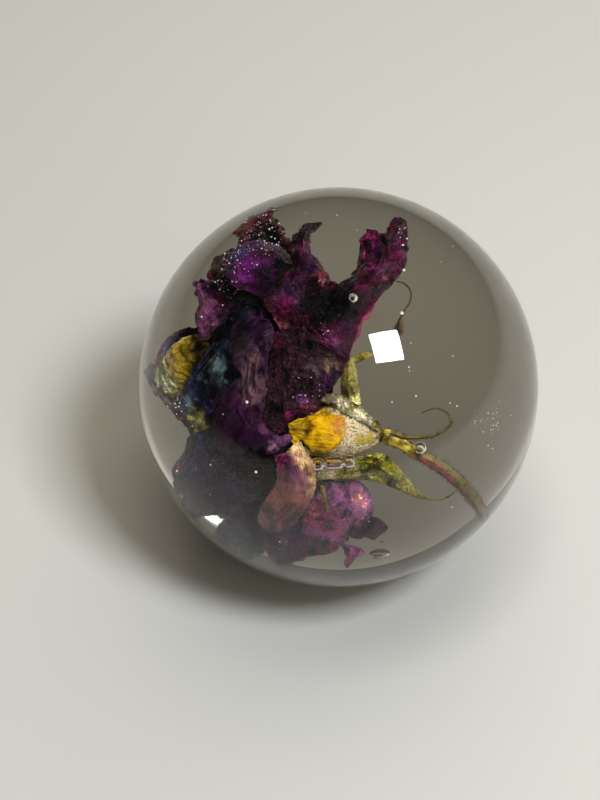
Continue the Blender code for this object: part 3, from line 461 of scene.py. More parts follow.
# What each petal looks like. Sizes are in millimetres. A patch is (colour, across, down, radius) and a rise
# is (across, down, radius, height in millimetres), both placed as they are seen in the picture.
# Black patches in gaps, cavities and valleys between petals are painted shade; elsewhere black is a petal's
# own near-black colour.
plainPetal = dict(
    body="deepPurple", rim="purple", rimShare=0.5, patches=[], rises=[], ragged=0.3, frill=0.35,
    crumple=0.42, veins=7, veinShade=0.4, mottle=0.5, mottleSize=1.6, foldShade=0.75, creaseAndShade=0.8,
    glint=0.5, grain=0.8, grownCells=4, sink=0.0, rows=None, bright=1.0, edge=1.9,
)
petalLooks = {
    "petal_crest": dict(
        bright=1.2, body="maroon", rim="veilRed", rimShare=0.8,
        patches=[
            ("redBrown", 246, 230, 14), ("veilRed", 241, 229, 6), ("veilRed", 260, 211, 6),
            ("redBrown", 266, 216, 9), ("dustyPink", 243, 228, 8), ("lilac", 262, 213, 3),
            ("black", 270, 236, 12), ("black", 279, 244, 9), ("inkBlue", 256, 240, 8),
            ("paleBrown", 215, 261, 10), ("redBrown", 208, 272, 7), ("black", 225, 292, 12),
        ],
        rises=[(250, 226, 8, 0.7), (268, 238, 7, -0.8), (276, 222, 6, 0.6)], ragged=0.5, frill=0.7,
        glint=0.8,
    ),
    "petal_violet": dict(
        edge=1.4, bright=0.8, body="violet", rim="dustyPink", rimShare=0.0,
        patches=[
            ("indigo", 238, 253, 12), ("purple", 258, 248, 12), ("brightViolet", 240, 276, 11),
            # the lilac spots along the lower left edge are a painted highlight on the edge
            ("violet", 247, 266, 9), ("lilac", 227, 271, 3), ("lilac", 236, 287, 2.5),
            ("lilac", 245, 291, 2.5), ("lilac", 230, 281, 2), ("deepPurple", 262, 276, 12),
            ("wine", 268, 252, 9), ("black", 284, 268, 19), ("black", 290, 250, 14),
            ("black", 270, 290, 14),
        ],
        rises=[
            (240, 270, 13, 1.2), (278, 268, 13, -2.4), (262, 250, 6, 0.5), (258, 276, 4, -0.5),
            (290, 252, 8, -2.0),
        ],
        ragged=0.25, frill=0.2, crumple=0.22, mottle=0.25, veinShade=0.2, foldShade=0.5, creaseAndShade=0.3,
        glint=0.08, grain=0.5,
    ),
    "petal_spike": dict(
        edge=1.6, body="wine", rim="plum", rimShare=0.2,
        patches=[
            ("plum", 290, 296, 17), ("deepPurple", 290, 289, 9), ("maroon", 314, 227, 9),
            ("black", 300, 233, 8), ("black", 307, 240, 5), ("purple", 313, 250, 8),
            ("magenta", 299, 250, 9), ("dustyPink", 297, 254, 3), ("deepPurple", 308, 266, 12),
            ("magenta", 284, 306, 10), ("deepPurple", 266, 294, 9), ("black", 276, 284, 8),
            # the veilRed, palePink and dustyPink spots round (320, 279) are a painted highlight
            ("plum", 299, 283, 7), ("dustyPink", 283, 327, 5), ("veilRed", 320, 274, 4),
            ("palePink", 317, 279, 2), ("dustyPink", 324, 283, 3), ("black", 316, 306, 24),
        ],
        rises=[
            (299, 252, 6, 1.2), (307, 240, 4, -0.9), (284, 306, 10, 0.6), (318, 280, 5, 1.0),
            (300, 268, 4, -0.9), (312, 292, 7, -1.0),
        ],
        ragged=0.35, frill=0.5, veinShade=0.3, glint=0.4,
    ),
    "petal_horn": dict(
        edge=1.7, bright=1.3, body="wine", rim="magenta", rimShare=0.7,
        patches=[
            ("wine", 397, 234, 15), ("maroon", 399, 222, 8), ("maroon", 393, 238, 6),
            ("black", 389, 217, 4), ("magenta", 370, 240, 11), ("brightMagenta", 365, 242, 6),
            ("brightMagenta", 370, 232, 7), ("brightMagenta", 362, 247, 6), ("dustyPink", 362, 252, 2.5),
            ("brightMagenta", 365, 256, 4), ("purple", 374, 250, 6), ("black", 383, 240, 6),
            ("black", 384, 249, 4), ("wine", 384, 254, 5), ("magenta", 399, 256, 7),
            ("magenta", 401, 240, 5), ("orchid", 380, 270, 10), ("cupRose", 382, 272, 5),
            ("deepPurple", 357, 266, 6), ("black", 377, 291, 6), ("black", 388, 287, 4),
            ("dustyPink", 384, 277, 2), ("brightMagenta", 371, 264, 4), ("magenta", 359, 284, 8),
            ("magenta", 395, 266, 7), ("black", 350, 280, 9), ("maroon", 366, 296, 9),
            ("black", 345, 302, 20), ("black", 324, 306, 26), ("brightMagenta", 325, 338, 6),
            ("orchid", 322, 334, 8), ("plum", 333, 344, 7), ("deepPurple", 346, 352, 8),
            ("deepPurple", 350, 328, 9), ("orchid", 325, 340, 10), ("dustyPink", 319, 330, 3),
        ],
        rises=[
            (368, 243, 6, 0.6), (373, 252, 3, -0.5), (383, 243, 4, -1.3), (398, 228, 8, 1.3),
            (401, 243, 4, -0.6), (401, 258, 6, 1.1), (380, 270, 8, 1.5), (366, 280, 4, -1.0),
            (356, 285, 5, 0.8), (350, 276, 4, -0.8), (330, 303, 14, -2.0), (335, 345, 11, 1.4),
            (350, 305, 4, 0.6),
        ],
        ragged=0.5, frill=0.8, crumple=0.55, glint=0.8,
    ),
    "petal_pink": dict(
        body="rosePink", rim="rosePink", patches=[("rosePink", 365, 314, 7), ("straw", 352, 347, 6)],
        ragged=0.35, frill=0.6,
    ),
    "petal_left": dict(
        # its high brightness makes up for the shadow that the crest and violet petals cast on it: painted
        # light; the black spots at its right are painted shadow of those petals
        edge=1.6, bright=3.0, body="dustyPlum", rim="lilacPlum",
        patches=[
            ("deepPurple", 200, 283, 7), ("deepPurple", 212, 290, 9), ("black", 226, 290, 12),
            ("lilacPlum", 203, 320, 15), ("lilacPlum", 199, 330, 8), ("plum", 222, 312, 9),
            ("deepPurple", 228, 298, 10), ("wine", 222, 300, 5), ("black", 247, 322, 14),
        ],
        rises=[(205, 310, 7, 0.7), (220, 312, 5, 0.6), (213, 297, 4, -0.7), (206, 328, 5, 0.4)], veins=6,
        veinShade=0.5, ragged=0.4, frill=0.5, glint=0.9,
    ),
    "petal_dark": dict(
        # its black body is partly the petal's own near-black colour and partly painted shade of the deep gap
        # it fills
        body="black", rim="inkBlue",
        patches=[("darkSlate", 232, 316, 5), ("inkBlue", 245, 318, 9), ("slate", 262, 313, 4)],
        rises=[(245, 316, 5, 0.9), (262, 314, 4, 0.8), (230, 328, 8, -1.0)], creaseAndShade=0.3, grownCells=12,
    ),
    "petal_rim": dict(
        body="greyPlum", rim="paleMauve",
        patches=[
            ("mauve", 149, 374, 12), ("inkBlue", 188, 330, 14), ("indigo", 167, 345, 8),
            ("redBrown", 158, 361, 5), ("greyBrown", 168, 401, 14), ("palePink", 182, 425, 6),
            ("darkSlate", 188, 428, 5),
        ],
        mottle=0.8, mottleSize=0.7, ragged=0.35,
    ),
    "petal_yellow": dict(
        bright=0.95, body="mustard", rim="paleGreen", rimShare=0.3,
        patches=[
            ("paleGreen", 159, 378, 12), ("paleGreen", 166, 387, 8), ("oldGold", 180, 375, 12),
            ("oldGold", 186, 345, 7), ("mustard", 188, 356, 9), ("paleGreen", 163, 361, 4),
            ("darkBrown", 199, 347, 5), ("oldGold", 206, 350, 3), ("oldGold", 205, 342, 3),
        ],
        rises=[(176, 368, 10, 1.0), (199, 347, 4, -1.8), (190, 356, 8, 0.5), (206, 350, 3, 0.6)], veins=5,
        veinShade=0.8, ragged=0.2, foldShade=0.5, crumple=0.26, mottle=0.04, glint=0.3,
    ),
    "petal_blue": dict(
        bright=1.7, edge=1.4, body="navy", rim="slateBlue",
        patches=[
            ("inkBlue", 219, 347, 12), ("tealGrey", 217, 366, 11), ("teal", 222, 378, 8),
            ("teal", 211, 362, 5), ("blueViolet", 197, 365, 6), ("slateBlue", 192, 378, 5),
            ("tealGrey", 201, 379, 4), ("black", 208, 378, 3), ("black", 230, 376, 6),
            ("black", 230, 392, 11), ("inkBlue", 207, 393, 7), ("black", 215, 398, 6),
            ("blueViolet", 207, 408, 5), ("teal", 190, 400, 6), ("olive", 196, 417, 8),
            ("olive", 199, 427, 9), ("black", 213, 427, 9),
        ],
        rises=[
            (217, 370, 6, 1.3), (197, 376, 5, 1.1), (208, 377, 3, -1.4), (196, 364, 4, 0.8),
            (208, 405, 5, 1.0), (216, 390, 4, -1.2), (201, 395, 3, -0.6), (196, 420, 6, 0.9),
        ],
        ragged=0.35, crumple=0.55, glint=0.9,
    ),
    "petal_mauve": dict(
        edge=1.35, bright=1.1, rim="lilac", rimShare=0.1,
        # the paleMauve spots along the ridge are painted light on it; the black spots beside the ridge and in
        # the valleys are painted shade
        patches=[
            ("black", 243, 328, 12), ("deepPurple", 256, 326, 9), ("mauve", 270, 333, 7),
            ("mauve", 246, 352, 14), ("mauve", 248, 384, 13), ("paleMauve", 250, 397, 10),
            ("paleMauve", 249, 372, 9), ("paleMauve", 257, 356, 7), ("paleMauve", 262, 384, 9),
            ("black", 234, 344, 8), ("black", 234, 376, 7), ("purple", 238, 405, 14),
            ("purple", 232, 430, 17), ("black", 264, 404, 5), ("black", 263, 345, 7),
            ("paleMauve", 246, 394, 8), ("plum", 262, 428, 8), ("dustyPlum", 285, 437, 8),
            ("lilac", 271, 448, 6), ("inkBlue", 238, 456, 7),
        ],
        rises=[
            (254, 345, 8, 1.0), (259, 365, 7, 1.2), (262, 388, 7, 1.2), (234, 376, 6, -2.2),
            (246, 362, 4, -0.6), (236, 412, 12, 1.2), (256, 412, 5, -0.8), (262, 432, 7, 0.7),
            (285, 438, 5, 0.9),
        ],
        mottle=0.22, veinShade=0.08, foldShade=0.45, creaseAndShade=0.25, glint=0.15,
    ),
    "petal_maroon": dict(
        bright=1.2, edge=1.3, body="maroon", rim="magenta",
        patches=[
            # the black at (267, 350), beside the mauve petal's ridge, is painted shade
            ("black", 267, 350, 9), ("plum", 339, 346, 8), ("wine", 277, 345, 9), ("maroon", 291, 350, 9),
            ("black", 308, 346, 10), ("black", 312, 357, 5), ("greyPlum", 312, 368, 9),
            ("purple", 328, 380, 10), ("magenta", 328, 390, 4), ("orchid", 326, 339, 8),
            ("brightMagenta", 325, 342, 3), ("mauve", 336, 374, 5), ("brownTan", 330, 364, 8),
            ("maroon", 280, 378, 9), ("maroon", 296, 382, 12), ("plum", 302, 400, 8),
            ("dustyWine", 309, 411, 9), ("brightMagenta", 289, 416, 4), ("black", 276, 412, 9),
            ("wine", 258, 415, 9),
        ],
        rises=[
            (267, 352, 7, -1.4), (290, 351, 7, 0.9), (308, 346, 6, -0.9), (316, 372, 11, 1.3),
            (283, 374, 6, -0.9), (296, 388, 6, 0.7), (276, 410, 6, -0.9), (306, 408, 7, 0.9),
            (260, 415, 6, 0.8), (330, 365, 3, -0.6),
        ],
        mottle=0.8, crumple=0.55, creaseAndShade=1.2,
    ),
    "petal_gold": dict(
        edge=1.7, sink=1.3, body="gold", rim="oldGold", rimShare=0.35,
        patches=[
            ("orange", 341, 427, 11), ("straw", 343, 432, 3), ("gold", 322, 440, 11),
            ("oldGold", 302, 430, 9), ("mustard", 294, 430, 7), ("darkMustard", 310, 425, 7),
            ("olive", 320, 454, 5), ("mustard", 325, 412, 5),
        ],
        rises=[(305, 432, 4, -0.9), (325, 432, 10, 0.7), (296, 427, 4, 0.6)], veins=6, veinShade=0.16,
        mottle=0.12, crumple=0.2, foldShade=0.35, creaseAndShade=0.15, glint=0.1, grain=0.3,
    ),
    "petal_tan": dict(
        edge=1.5, bright=1.15, body="dustyTan", ragged=0.15, rim="straw", rimShare=0.0,
        patches=[
            ("greyBrown", 268, 514, 12), ("dustyTan", 290, 492, 14), ("greyBrown", 292, 518, 9),
            ("greyPlum", 272, 528, 9), ("mauve", 262, 534, 8), ("mauve", 286, 534, 9),
            ("cream", 300, 448, 12), ("cream", 308, 462, 7), ("cream", 314, 477, 6),
            ("straw", 315, 491, 6), ("dustyRose", 304, 500, 9), ("magenta", 280, 459, 11),
            ("plum", 290, 470, 10), ("dustyPlum", 299, 480, 7),
        ],
        rises=[(296, 482, 13, 1.5), (304, 450, 6, 0.6), (284, 466, 5, -0.9), (272, 508, 7, 0.6)], veins=8,
        veinShade=0.6, mottle=0.05, crumple=0.18, frill=0.15, foldShade=0.5, creaseAndShade=0.3, glint=0.2,
        grain=0.4, grownCells=8,
    ),
    "petal_slate": dict(
        bright=0.3, body="slate", rim="greySlate", rimShare=0.3,
        patches=[
            ("slate", 222, 470, 18), ("darkSlate", 215, 495, 14), ("darkSlate", 262, 482, 15),
            ("black", 262, 458, 9), ("greySlate", 184, 482, 9), ("indigo", 200, 441, 10),
            ("navy", 232, 455, 8), ("rosePink", 176, 466, 4), ("greySlate", 194, 510, 7),
        ],
        rises=[
            (222, 472, 13, 1.0), (262, 470, 10, -1.0), (243, 490, 4, 0.5), (243, 472, 4, -0.5),
            (190, 485, 8, 0.6), (200, 505, 5, -0.5),
        ],
        ragged=0.35, crumple=0.26, veinShade=0.1, mottle=0.3, foldShade=0.5, creaseAndShade=0.5,
    ),
    "petal_slate_low": dict(
        bright=0.3, body="greySlate", rim="lightSlate",
        patches=[("lightSlate", 227, 532, 9), ("slate", 256, 520, 13), ("greyPlum", 276, 530, 10)],
        rises=[(230, 532, 7, 0.7), (246, 528, 5, -0.5)], ragged=0.2, crumple=0.16, veinShade=0.1,
        mottle=0.2, foldShade=0.4, creaseAndShade=0.3,
    ),
    "petal_plum": dict(
        bright=0.55, body="greyPlum", rim="redBrown",
        patches=[
            ("plum", 298, 545, 13), ("purple", 302, 530, 8), ("slate", 272, 530, 12),
            ("greyPlum", 285, 558, 8), ("rosePink", 331, 549, 6), ("black", 322, 541, 5),
            ("redBrown", 318, 555, 6),
        ],
        rises=[(298, 540, 9, 0.7), (322, 541, 4, -0.8), (280, 545, 6, 0.5)], crumple=0.25,
        foldShade=0.5, creaseAndShade=0.5,
    ),
    "petal_cup": dict(
        bright=2.4, edge=1.4, body="dustyPlum", rim="navy", rimShare=1.0,
        patches=[
            ("plum", 344, 492, 11), ("dustyPlum", 330, 498, 10), ("orchid", 322, 522, 12),
            # the deepPurple and navy spots at the top edge and right side are painted shade
            ("plum", 307, 528, 7), ("orchid", 311, 514, 7), ("deepPurple", 338, 480, 6),
            ("deepPurple", 371, 514, 4), ("navy", 366, 521, 4), ("cupRose", 317, 518, 12),
            # the dustyPink, palePink and cream spots round (361, 497) are a painted highlight
            ("brightMagenta", 322, 522, 3), ("cupRose", 336, 529, 6), ("dustyPink", 361, 497, 7),
            ("palePink", 359, 495, 2.2), ("cream", 361, 498, 1.3), ("palePink", 364, 505, 2),
            ("deepPurple", 345, 514, 4), ("orchid", 336, 516, 6), ("navy", 354, 529, 6),
            ("dustyPink", 313, 513, 6), ("redBrown", 350, 540, 6),
        ],
        rises=[
            (358, 497, 9, 0.9), (343, 514, 5, -1.2), (322, 520, 9, 0.8), (354, 530, 6, -0.6),
            (334, 495, 7, 0.5), (330, 508, 3, -0.5),
        ],
        mottle=0.3, mottleSize=0.45, ragged=0.25, grownCells=8, veinShade=0.2, glint=1.0,
    ),
    "petal_flap": dict(
        bright=1.25, body="greyPlum", rim="deepPurple",
        patches=[("inkBlue", 371, 521, 6), ("slate", 366, 531, 6)], ragged=0.2, crumple=0.2,
    ),
    "petal_scrap": dict(
        bright=2.9, crumple=1.1, mottle=0.8, creaseAndShade=1.2, body="plum", rim="rosePink",
        patches=[("orchid", 357, 548, 6), ("redBrown", 348, 561, 6)],
    ),
}
sepalLook = dict(
    body="leafGreen", rim="paleLeaf", veins=9, veinShade=0.35, mottle=0.7, mottleSize=0.55, ragged=0.2,
    frill=0.2, crumple=0.24, foldShade=0.8, creaseAndShade=1.2, glint=0.8,
)
palette.update(
    leafGreen=(128, 122, 54), brightLeaf=(130, 128, 22), paleLeaf=(156, 152, 96), darkLeaf=(60, 64, 28),
    feltCream=(236, 217, 180), feltGrey=(198, 196, 164),
)
sepalLooks = {
    "sepal_upper": dict(
        sink=3.5, body="feltGrey", rim="darkLeaf", rimShare=0.9,
        patches=[
            ("feltCream", 340, 400, 6), ("feltCream", 362, 414, 5), ("paleLeaf", 352, 408, 7),
            ("leafGreen", 377, 424, 5),
        ],
        mottle=0.85, mottleSize=0.35,
    ),
    "sepal_back": dict(
        # its high brightness makes up for the shade of the petals above it: painted light
        bright=4.5,
        rows=[
            [(343, 402, 1.5), (352, 405, 2.0), (361, 404, 1.5)],
            [(340.5, 388, 2.6), (350, 390, 3.6), (359.5, 390, 2.6)],
            [(341.5, 374, 3.6), (349.5, 374, 4.6), (357.5, 374, 3.6)],
            [(344, 362, 4.2), (350, 363, 4.8), (356, 366, 4.2)],
            [(352, 355.5, 4.4), (357, 358.5, 4.6), (361, 362, 4.4)],
            [(363, 352.5, 4.2), (365, 355, 4.4), (367, 358.5, 4.2)],
            [(372, 352.5, 4.0), (372.5, 354, 4.1), (373, 356, 4.0)],
        ],
        grownCells=0, body="paleLeaf",
        patches=[("leafGreen", 346, 376, 4), ("olive", 364, 357, 7)],
    ),
    "sepal_lower": dict(
        patches=[
            ("feltCream", 326, 476, 10), ("leafGreen", 345, 462, 9), ("brightLeaf", 376, 458, 9),
            ("brightLeaf", 390, 470, 9), ("darkLeaf", 366, 474, 8), ("darkLeaf", 392, 482, 6),
            ("olive", 380, 456, 4), ("paleLeaf", 356, 476, 5), ("leafGreen", 402, 485, 8),
            ("brightLeaf", 421, 496, 6), ("darkLeaf", 452, 494, 10),
        ],
        rises=[(380, 462, 5, 0.5), (372, 474, 4, -0.5), (350, 470, 6, 0.4)],
    ),
    "sepal_short": dict(
        rim="darkLeaf", patches=[("straw", 329, 512, 5)], veins=6, veinShade=0.95,
        bright=1.1,
    ),
}

# The outlines that the eye sees, as (across, down) in the picture. What they cut off was never there.
petalOutlines = {
    "sepal_upper": [
        (320, 401), (325, 395), (333, 393), (341, 395), (350, 400), (359, 406), (368, 413), (376, 419),
        (384, 426), (388, 431), (383, 434), (375, 430), (367, 425), (359, 421), (350, 417), (341, 412),
        (332, 408), (324, 405),
    ],
    "petal_crest": [
        (236, 244), (234, 233), (240, 225), (247, 218), (254, 213), (263, 209), (271, 207), (276, 210),
        (273, 214), (277, 220), (281, 227), (288, 235), (292, 243), (300, 262), (302, 300), (290, 345),
        (262, 320), (240, 300), (226, 296), (217, 284), (207, 276), (211, 268), (213, 260), (217, 255),
        (226, 250),
    ],
    "petal_violet": [
        (223, 269), (226, 259), (233, 250), (243, 244), (254, 240), (268, 241), (280, 246), (290, 256),
        (294, 268), (306, 300), (308, 345), (285, 345), (272, 306), (258, 296), (249, 292), (240, 291),
        (230, 285),
    ],
    "petal_left": [
        (193, 283), (200, 280), (210, 278), (222, 284), (236, 298), (250, 320), (266, 345), (274, 376),
        (256, 376), (236, 350), (222, 330), (216, 329), (210, 336), (205, 339), (199, 337), (197, 329),
        (194, 320), (196, 312), (199, 304), (195, 293),
    ],
    "petal_dark": [
        (217, 282), (224, 294), (234, 302), (228, 312), (222, 321), (214, 330), (213, 345), (225, 362),
        (268, 402), (312, 400), (310, 345), (290, 300), (262, 282), (240, 276),
    ],
    "petal_spike": [
        (322, 222), (318, 231), (312, 233), (310, 240), (312, 250), (317, 258), (323, 268), (330, 276),
        (338, 281), (348, 292), (345, 330), (322, 378), (288, 378), (290, 345), (288, 330), (283, 331),
        (277, 326), (270, 314), (262, 303), (254, 293), (258, 284), (276, 276), (293, 270), (296, 264),
        (293, 252), (291, 238), (298, 230), (306, 224), (314, 222),
    ],
    "petal_horn": [
        (338, 283), (351, 274), (357, 266), (359, 250), (360, 239), (366, 229), (372, 226), (378, 230),
        (384, 232), (387, 225), (387, 218), (394, 215), (401, 215), (407, 220), (409, 228), (407, 237),
        (409, 250), (406, 265), (399, 278), (388, 287), (379, 297), (374, 305), (362, 320), (354, 336),
        (350, 354), (342, 370), (330, 390), (296, 392), (296, 345), (300, 310), (308, 292), (320, 285),
    ],
    "petal_pink": [
        (366, 300), (377, 297), (374, 308), (367, 321), (360, 333), (355, 342), (349, 352), (345, 365),
        (330, 362), (335, 345), (350, 318),
    ],
    "petal_mauve": [
        (229, 330), (236, 322), (252, 316), (268, 317), (277, 330), (272, 345), (268, 360), (268, 380),
        (266, 400), (262, 418), (266, 427), (279, 434), (290, 431), (295, 437), (289, 444), (279, 448),
        (275, 454), (266, 453), (262, 445), (256, 453), (250, 446), (240, 455), (226, 454), (217, 448),
        (213, 436), (212, 420), (212, 405), (217, 393), (226, 384), (236, 379), (241, 376), (236, 370),
        (231, 358), (228, 344),
    ],
    "petal_maroon": [
        (262, 340), (280, 330), (300, 326), (320, 328), (338, 334), (350, 350), (346, 366), (341, 378),
        (330, 391), (323, 398), (321, 408), (317, 415), (309, 418), (298, 419), (291, 424), (284, 432),
        (274, 434), (262, 432), (252, 426), (249, 414), (254, 402), (262, 388), (260, 368),
    ],
    "petal_gold": [
        (289, 424), (298, 419), (308, 417), (318, 411), (326, 407), (334, 409), (341, 414), (345.5, 421),
        (347, 429), (345.5, 437), (341, 445), (334, 451), (325, 455), (314, 456), (306, 447), (301, 440),
        (293, 446), (287, 450), (284, 442), (288, 432),
    ],
    "petal_tan": [
        (299, 441), (306, 446), (312, 457), (316, 469), (317, 480), (315, 493), (310, 504), (303, 515),
        (295, 525), (284, 531), (272, 534), (262, 532), (257, 522), (259, 509), (266, 499), (273, 489),
        (277, 479), (276, 467), (274, 455), (286, 452), (293, 445),
    ],
    "petal_cup": [
        (315, 489), (324, 482), (336, 478.5), (350, 477), (362, 481.5), (370, 490), (374, 501),
        (374, 511), (370, 519), (362, 526), (352, 530), (348, 540), (338, 546), (328, 541), (314, 539),
        (302, 533), (301, 522), (306, 509), (310, 498),
    ],
    "petal_flap": [
        (370, 516), (379, 517), (388, 527), (384, 534), (373, 541), (365, 538), (352, 540), (340, 536),
        (344, 524), (358, 520),
    ],
    "petal_scrap": [
        (337, 542), (345, 540), (356, 543), (361, 546), (364, 554), (357, 557), (352, 563), (347, 568),
        (343, 564), (346, 556), (340, 550),
    ],
    "petal_plum": [
        (262, 505), (296, 476), (322, 480), (345, 510), (345, 534), (338, 550), (332, 554), (319, 556),
        (312, 553), (315, 544), (308, 547), (309, 556), (304, 561), (289, 565), (277, 566), (272, 561),
        (266, 552), (261, 539), (259, 520),
    ],
    "petal_slate": [
        (189, 436), (200, 430), (230, 432), (262, 442), (304, 444), (304, 470), (276, 486), (268, 495),
        (258, 500), (240, 506), (233, 511), (226, 514), (214, 516), (202, 516), (196, 521), (187, 512),
        (181, 503), (182, 496), (176, 493), (172, 480), (170, 468), (176, 462), (182, 455), (185, 447),
    ],
    "petal_slate_low": [
        (236, 505), (262, 498), (285, 474), (305, 478), (305, 492), (290, 520), (268, 545), (264, 553),
        (250, 560), (240, 555), (226, 546), (212, 534), (218, 524), (228, 516),
    ],
    "petal_yellow": [
        (154, 380), (155, 371), (164, 356), (173, 344), (181, 337), (195, 333), (208, 339), (212, 352),
        (212, 386), (196, 404), (182, 399), (174, 398), (166, 394), (158, 388),
    ],
    "petal_blue": [
        (205, 352), (212, 344), (224, 338), (242, 348), (254, 372), (282, 405), (276, 430), (240, 442),
        (215, 441), (200, 437), (190, 432), (184, 420), (178, 408), (175, 396), (184, 388), (190, 374),
        (200, 362),
    ],
    "petal_rim": [
        (143, 371), (148, 365), (154, 363), (158, 352), (163, 342), (169, 337), (176, 331), (186, 328),
        (196, 326), (212, 328), (245, 372), (242, 420), (205, 436), (192, 436), (186, 427), (180, 421),
        (170, 411), (162, 403), (155, 396), (147, 382),
    ],
}


# Fine sheets: the settled ones with ragged margins, frills and the wrinkles of dried petals
fine = dict(
    rowsPerMm=4.55, columnsPerMm=4.55, fewest=40, mostRows=190, mostColumns=150, petalThickness=0.24,
    sepalThickness=0.36, thinMargin=0.3, marginWidth=1.6, gap=0.08, pileCell=1.5, pileCells=400,
    settlingRounds=14, calmBase=3, cornerStart=0.72, cornerReach=0.28, cornerDepth=0.22, tearLevel=0.35,
    tearDepth=1.8, nibble=0.5, smallNibble=0.35, smallWave=0.5,
)
# Size along and across in mm, how far other waves bend them along and across, and a seed of their own
wrinkles = dict(
    nibbles=(1.7, 1.7, 0, 0, 0), smallNibbles=(0.75, 0.75, 0, 0, 1), tears=(2.8, 2.8, 0, 0, 2),
    broad=(7.0, 5.5, 0, 0, 20), folds=(6.0, 3.2, 0.5, 0.8, 26), lengthwise=(4.0, 1.3, 0.5, 0.6, 21),
    crosswise=(1.2, 2.4, 0.5, 0, 22), crepe=(0.6, 0.48, 0.4, 0, 23), waves=(1.5, 1.5, 0, 0, 24),
    smallWaves=(0.7, 0.7, 0, 0, 25),
)
# Each ridge's share in the fold value, which paints light on ridges and shade in valleys, and in the height
ridgeShade = dict(folds=0.45, lengthwise=0.35, crosswise=0.3, crepe=0.2)
ridgeHeight = dict(folds=1.1, lengthwise=0.7, crosswise=0.5, crepe=0.3)
# A patch's wandering edge: its size in picture units, then how fine, how far and with what seed
patchEdge = dict(size=4.5, wanders=((1, 4.5, 40), (3, 1.8, 42)), level=0.2)
tiny = 1e-9


def within(sheet, across, down, radius):  # 1 at the middle of a soft round spot and 0 well outside it
    return np.exp(-((sheet[..., 0] - across) ** 2 + (sheet[..., 1] - down) ** 2) / (0.75 * radius**2))


def linear(colour):  # a screen colour as light
    return (np.array(colour) / 255) ** 2.2


def tintsOver(sheet, look, seed):  # the body colour with the patches laid over it, their edges broken up
    tints = np.tile(linear(palette[look["body"]]), (*sheet.shape[:2], 1))
    x, y = sheet[..., 0] / patchEdge["size"], sheet[..., 1] / patchEdge["size"]
    wander = sum(
        reach * np.stack([noiseAt(x * finer, y * finer, seed + step + k) for k in (0, 1)], axis=-1)
        for finer, reach, step in patchEdge["wanders"]
    )
    for name, across, down, radius in look["patches"]:
        share = look["edge"] * within(sheet[..., :2] + wander, across, down, radius)
        share = np.clip(share - patchEdge["level"] * (look["edge"] - 1), 0, 1)[..., None]
        tints = tints * (1 - share) + linear(palette[name]) * share
    return tints * look["bright"]


def insideOutline(sheet, outline):  # how far each place lies inside an outline, in picture units
    points = np.array(outline, dtype=float)
    after = np.roll(points, -1, axis=0)
    x, y = sheet[..., 0, None], sheet[..., 1, None]
    startX, startY = points.T
    edgeX, edgeY = (after - points).T
    share = ((x - startX) * edgeX + (y - startY) * edgeY) / np.maximum(edgeX**2 + edgeY**2, tiny)
    share = np.clip(share, 0, 1)
    away = np.hypot(x - startX - share * edgeX, y - startY - share * edgeY).min(axis=-1)
    straddles = (startY > y) != (after[:, 1] > y)
    slope = edgeX / np.where(edgeY == 0, tiny, edgeY)
    crossings = straddles & (x < startX + slope * (y - startY))
    return np.where(crossings.sum(axis=-1) % 2 == 1, away, -away)


def grown(sheet, cells):  # the sheet carried on straight past its sides and its tip
    first, last = sheet[:, :1], sheet[:, -1:]
    leftStep, rightStep = first - sheet[:, 2:3], last - sheet[:, -3:-2]
    reach = np.arange(1, cells + 1)[None, :, None] / 2
    wide = np.concatenate([(first + leftStep * reach)[:, ::-1], sheet, last + rightStep * reach], axis=1)
    tipStep = wide[-1:] - wide[-3:-2]
    return np.concatenate([wide, wide[-1:] + tipStep * reach.reshape(-1, 1, 1)], axis=0)


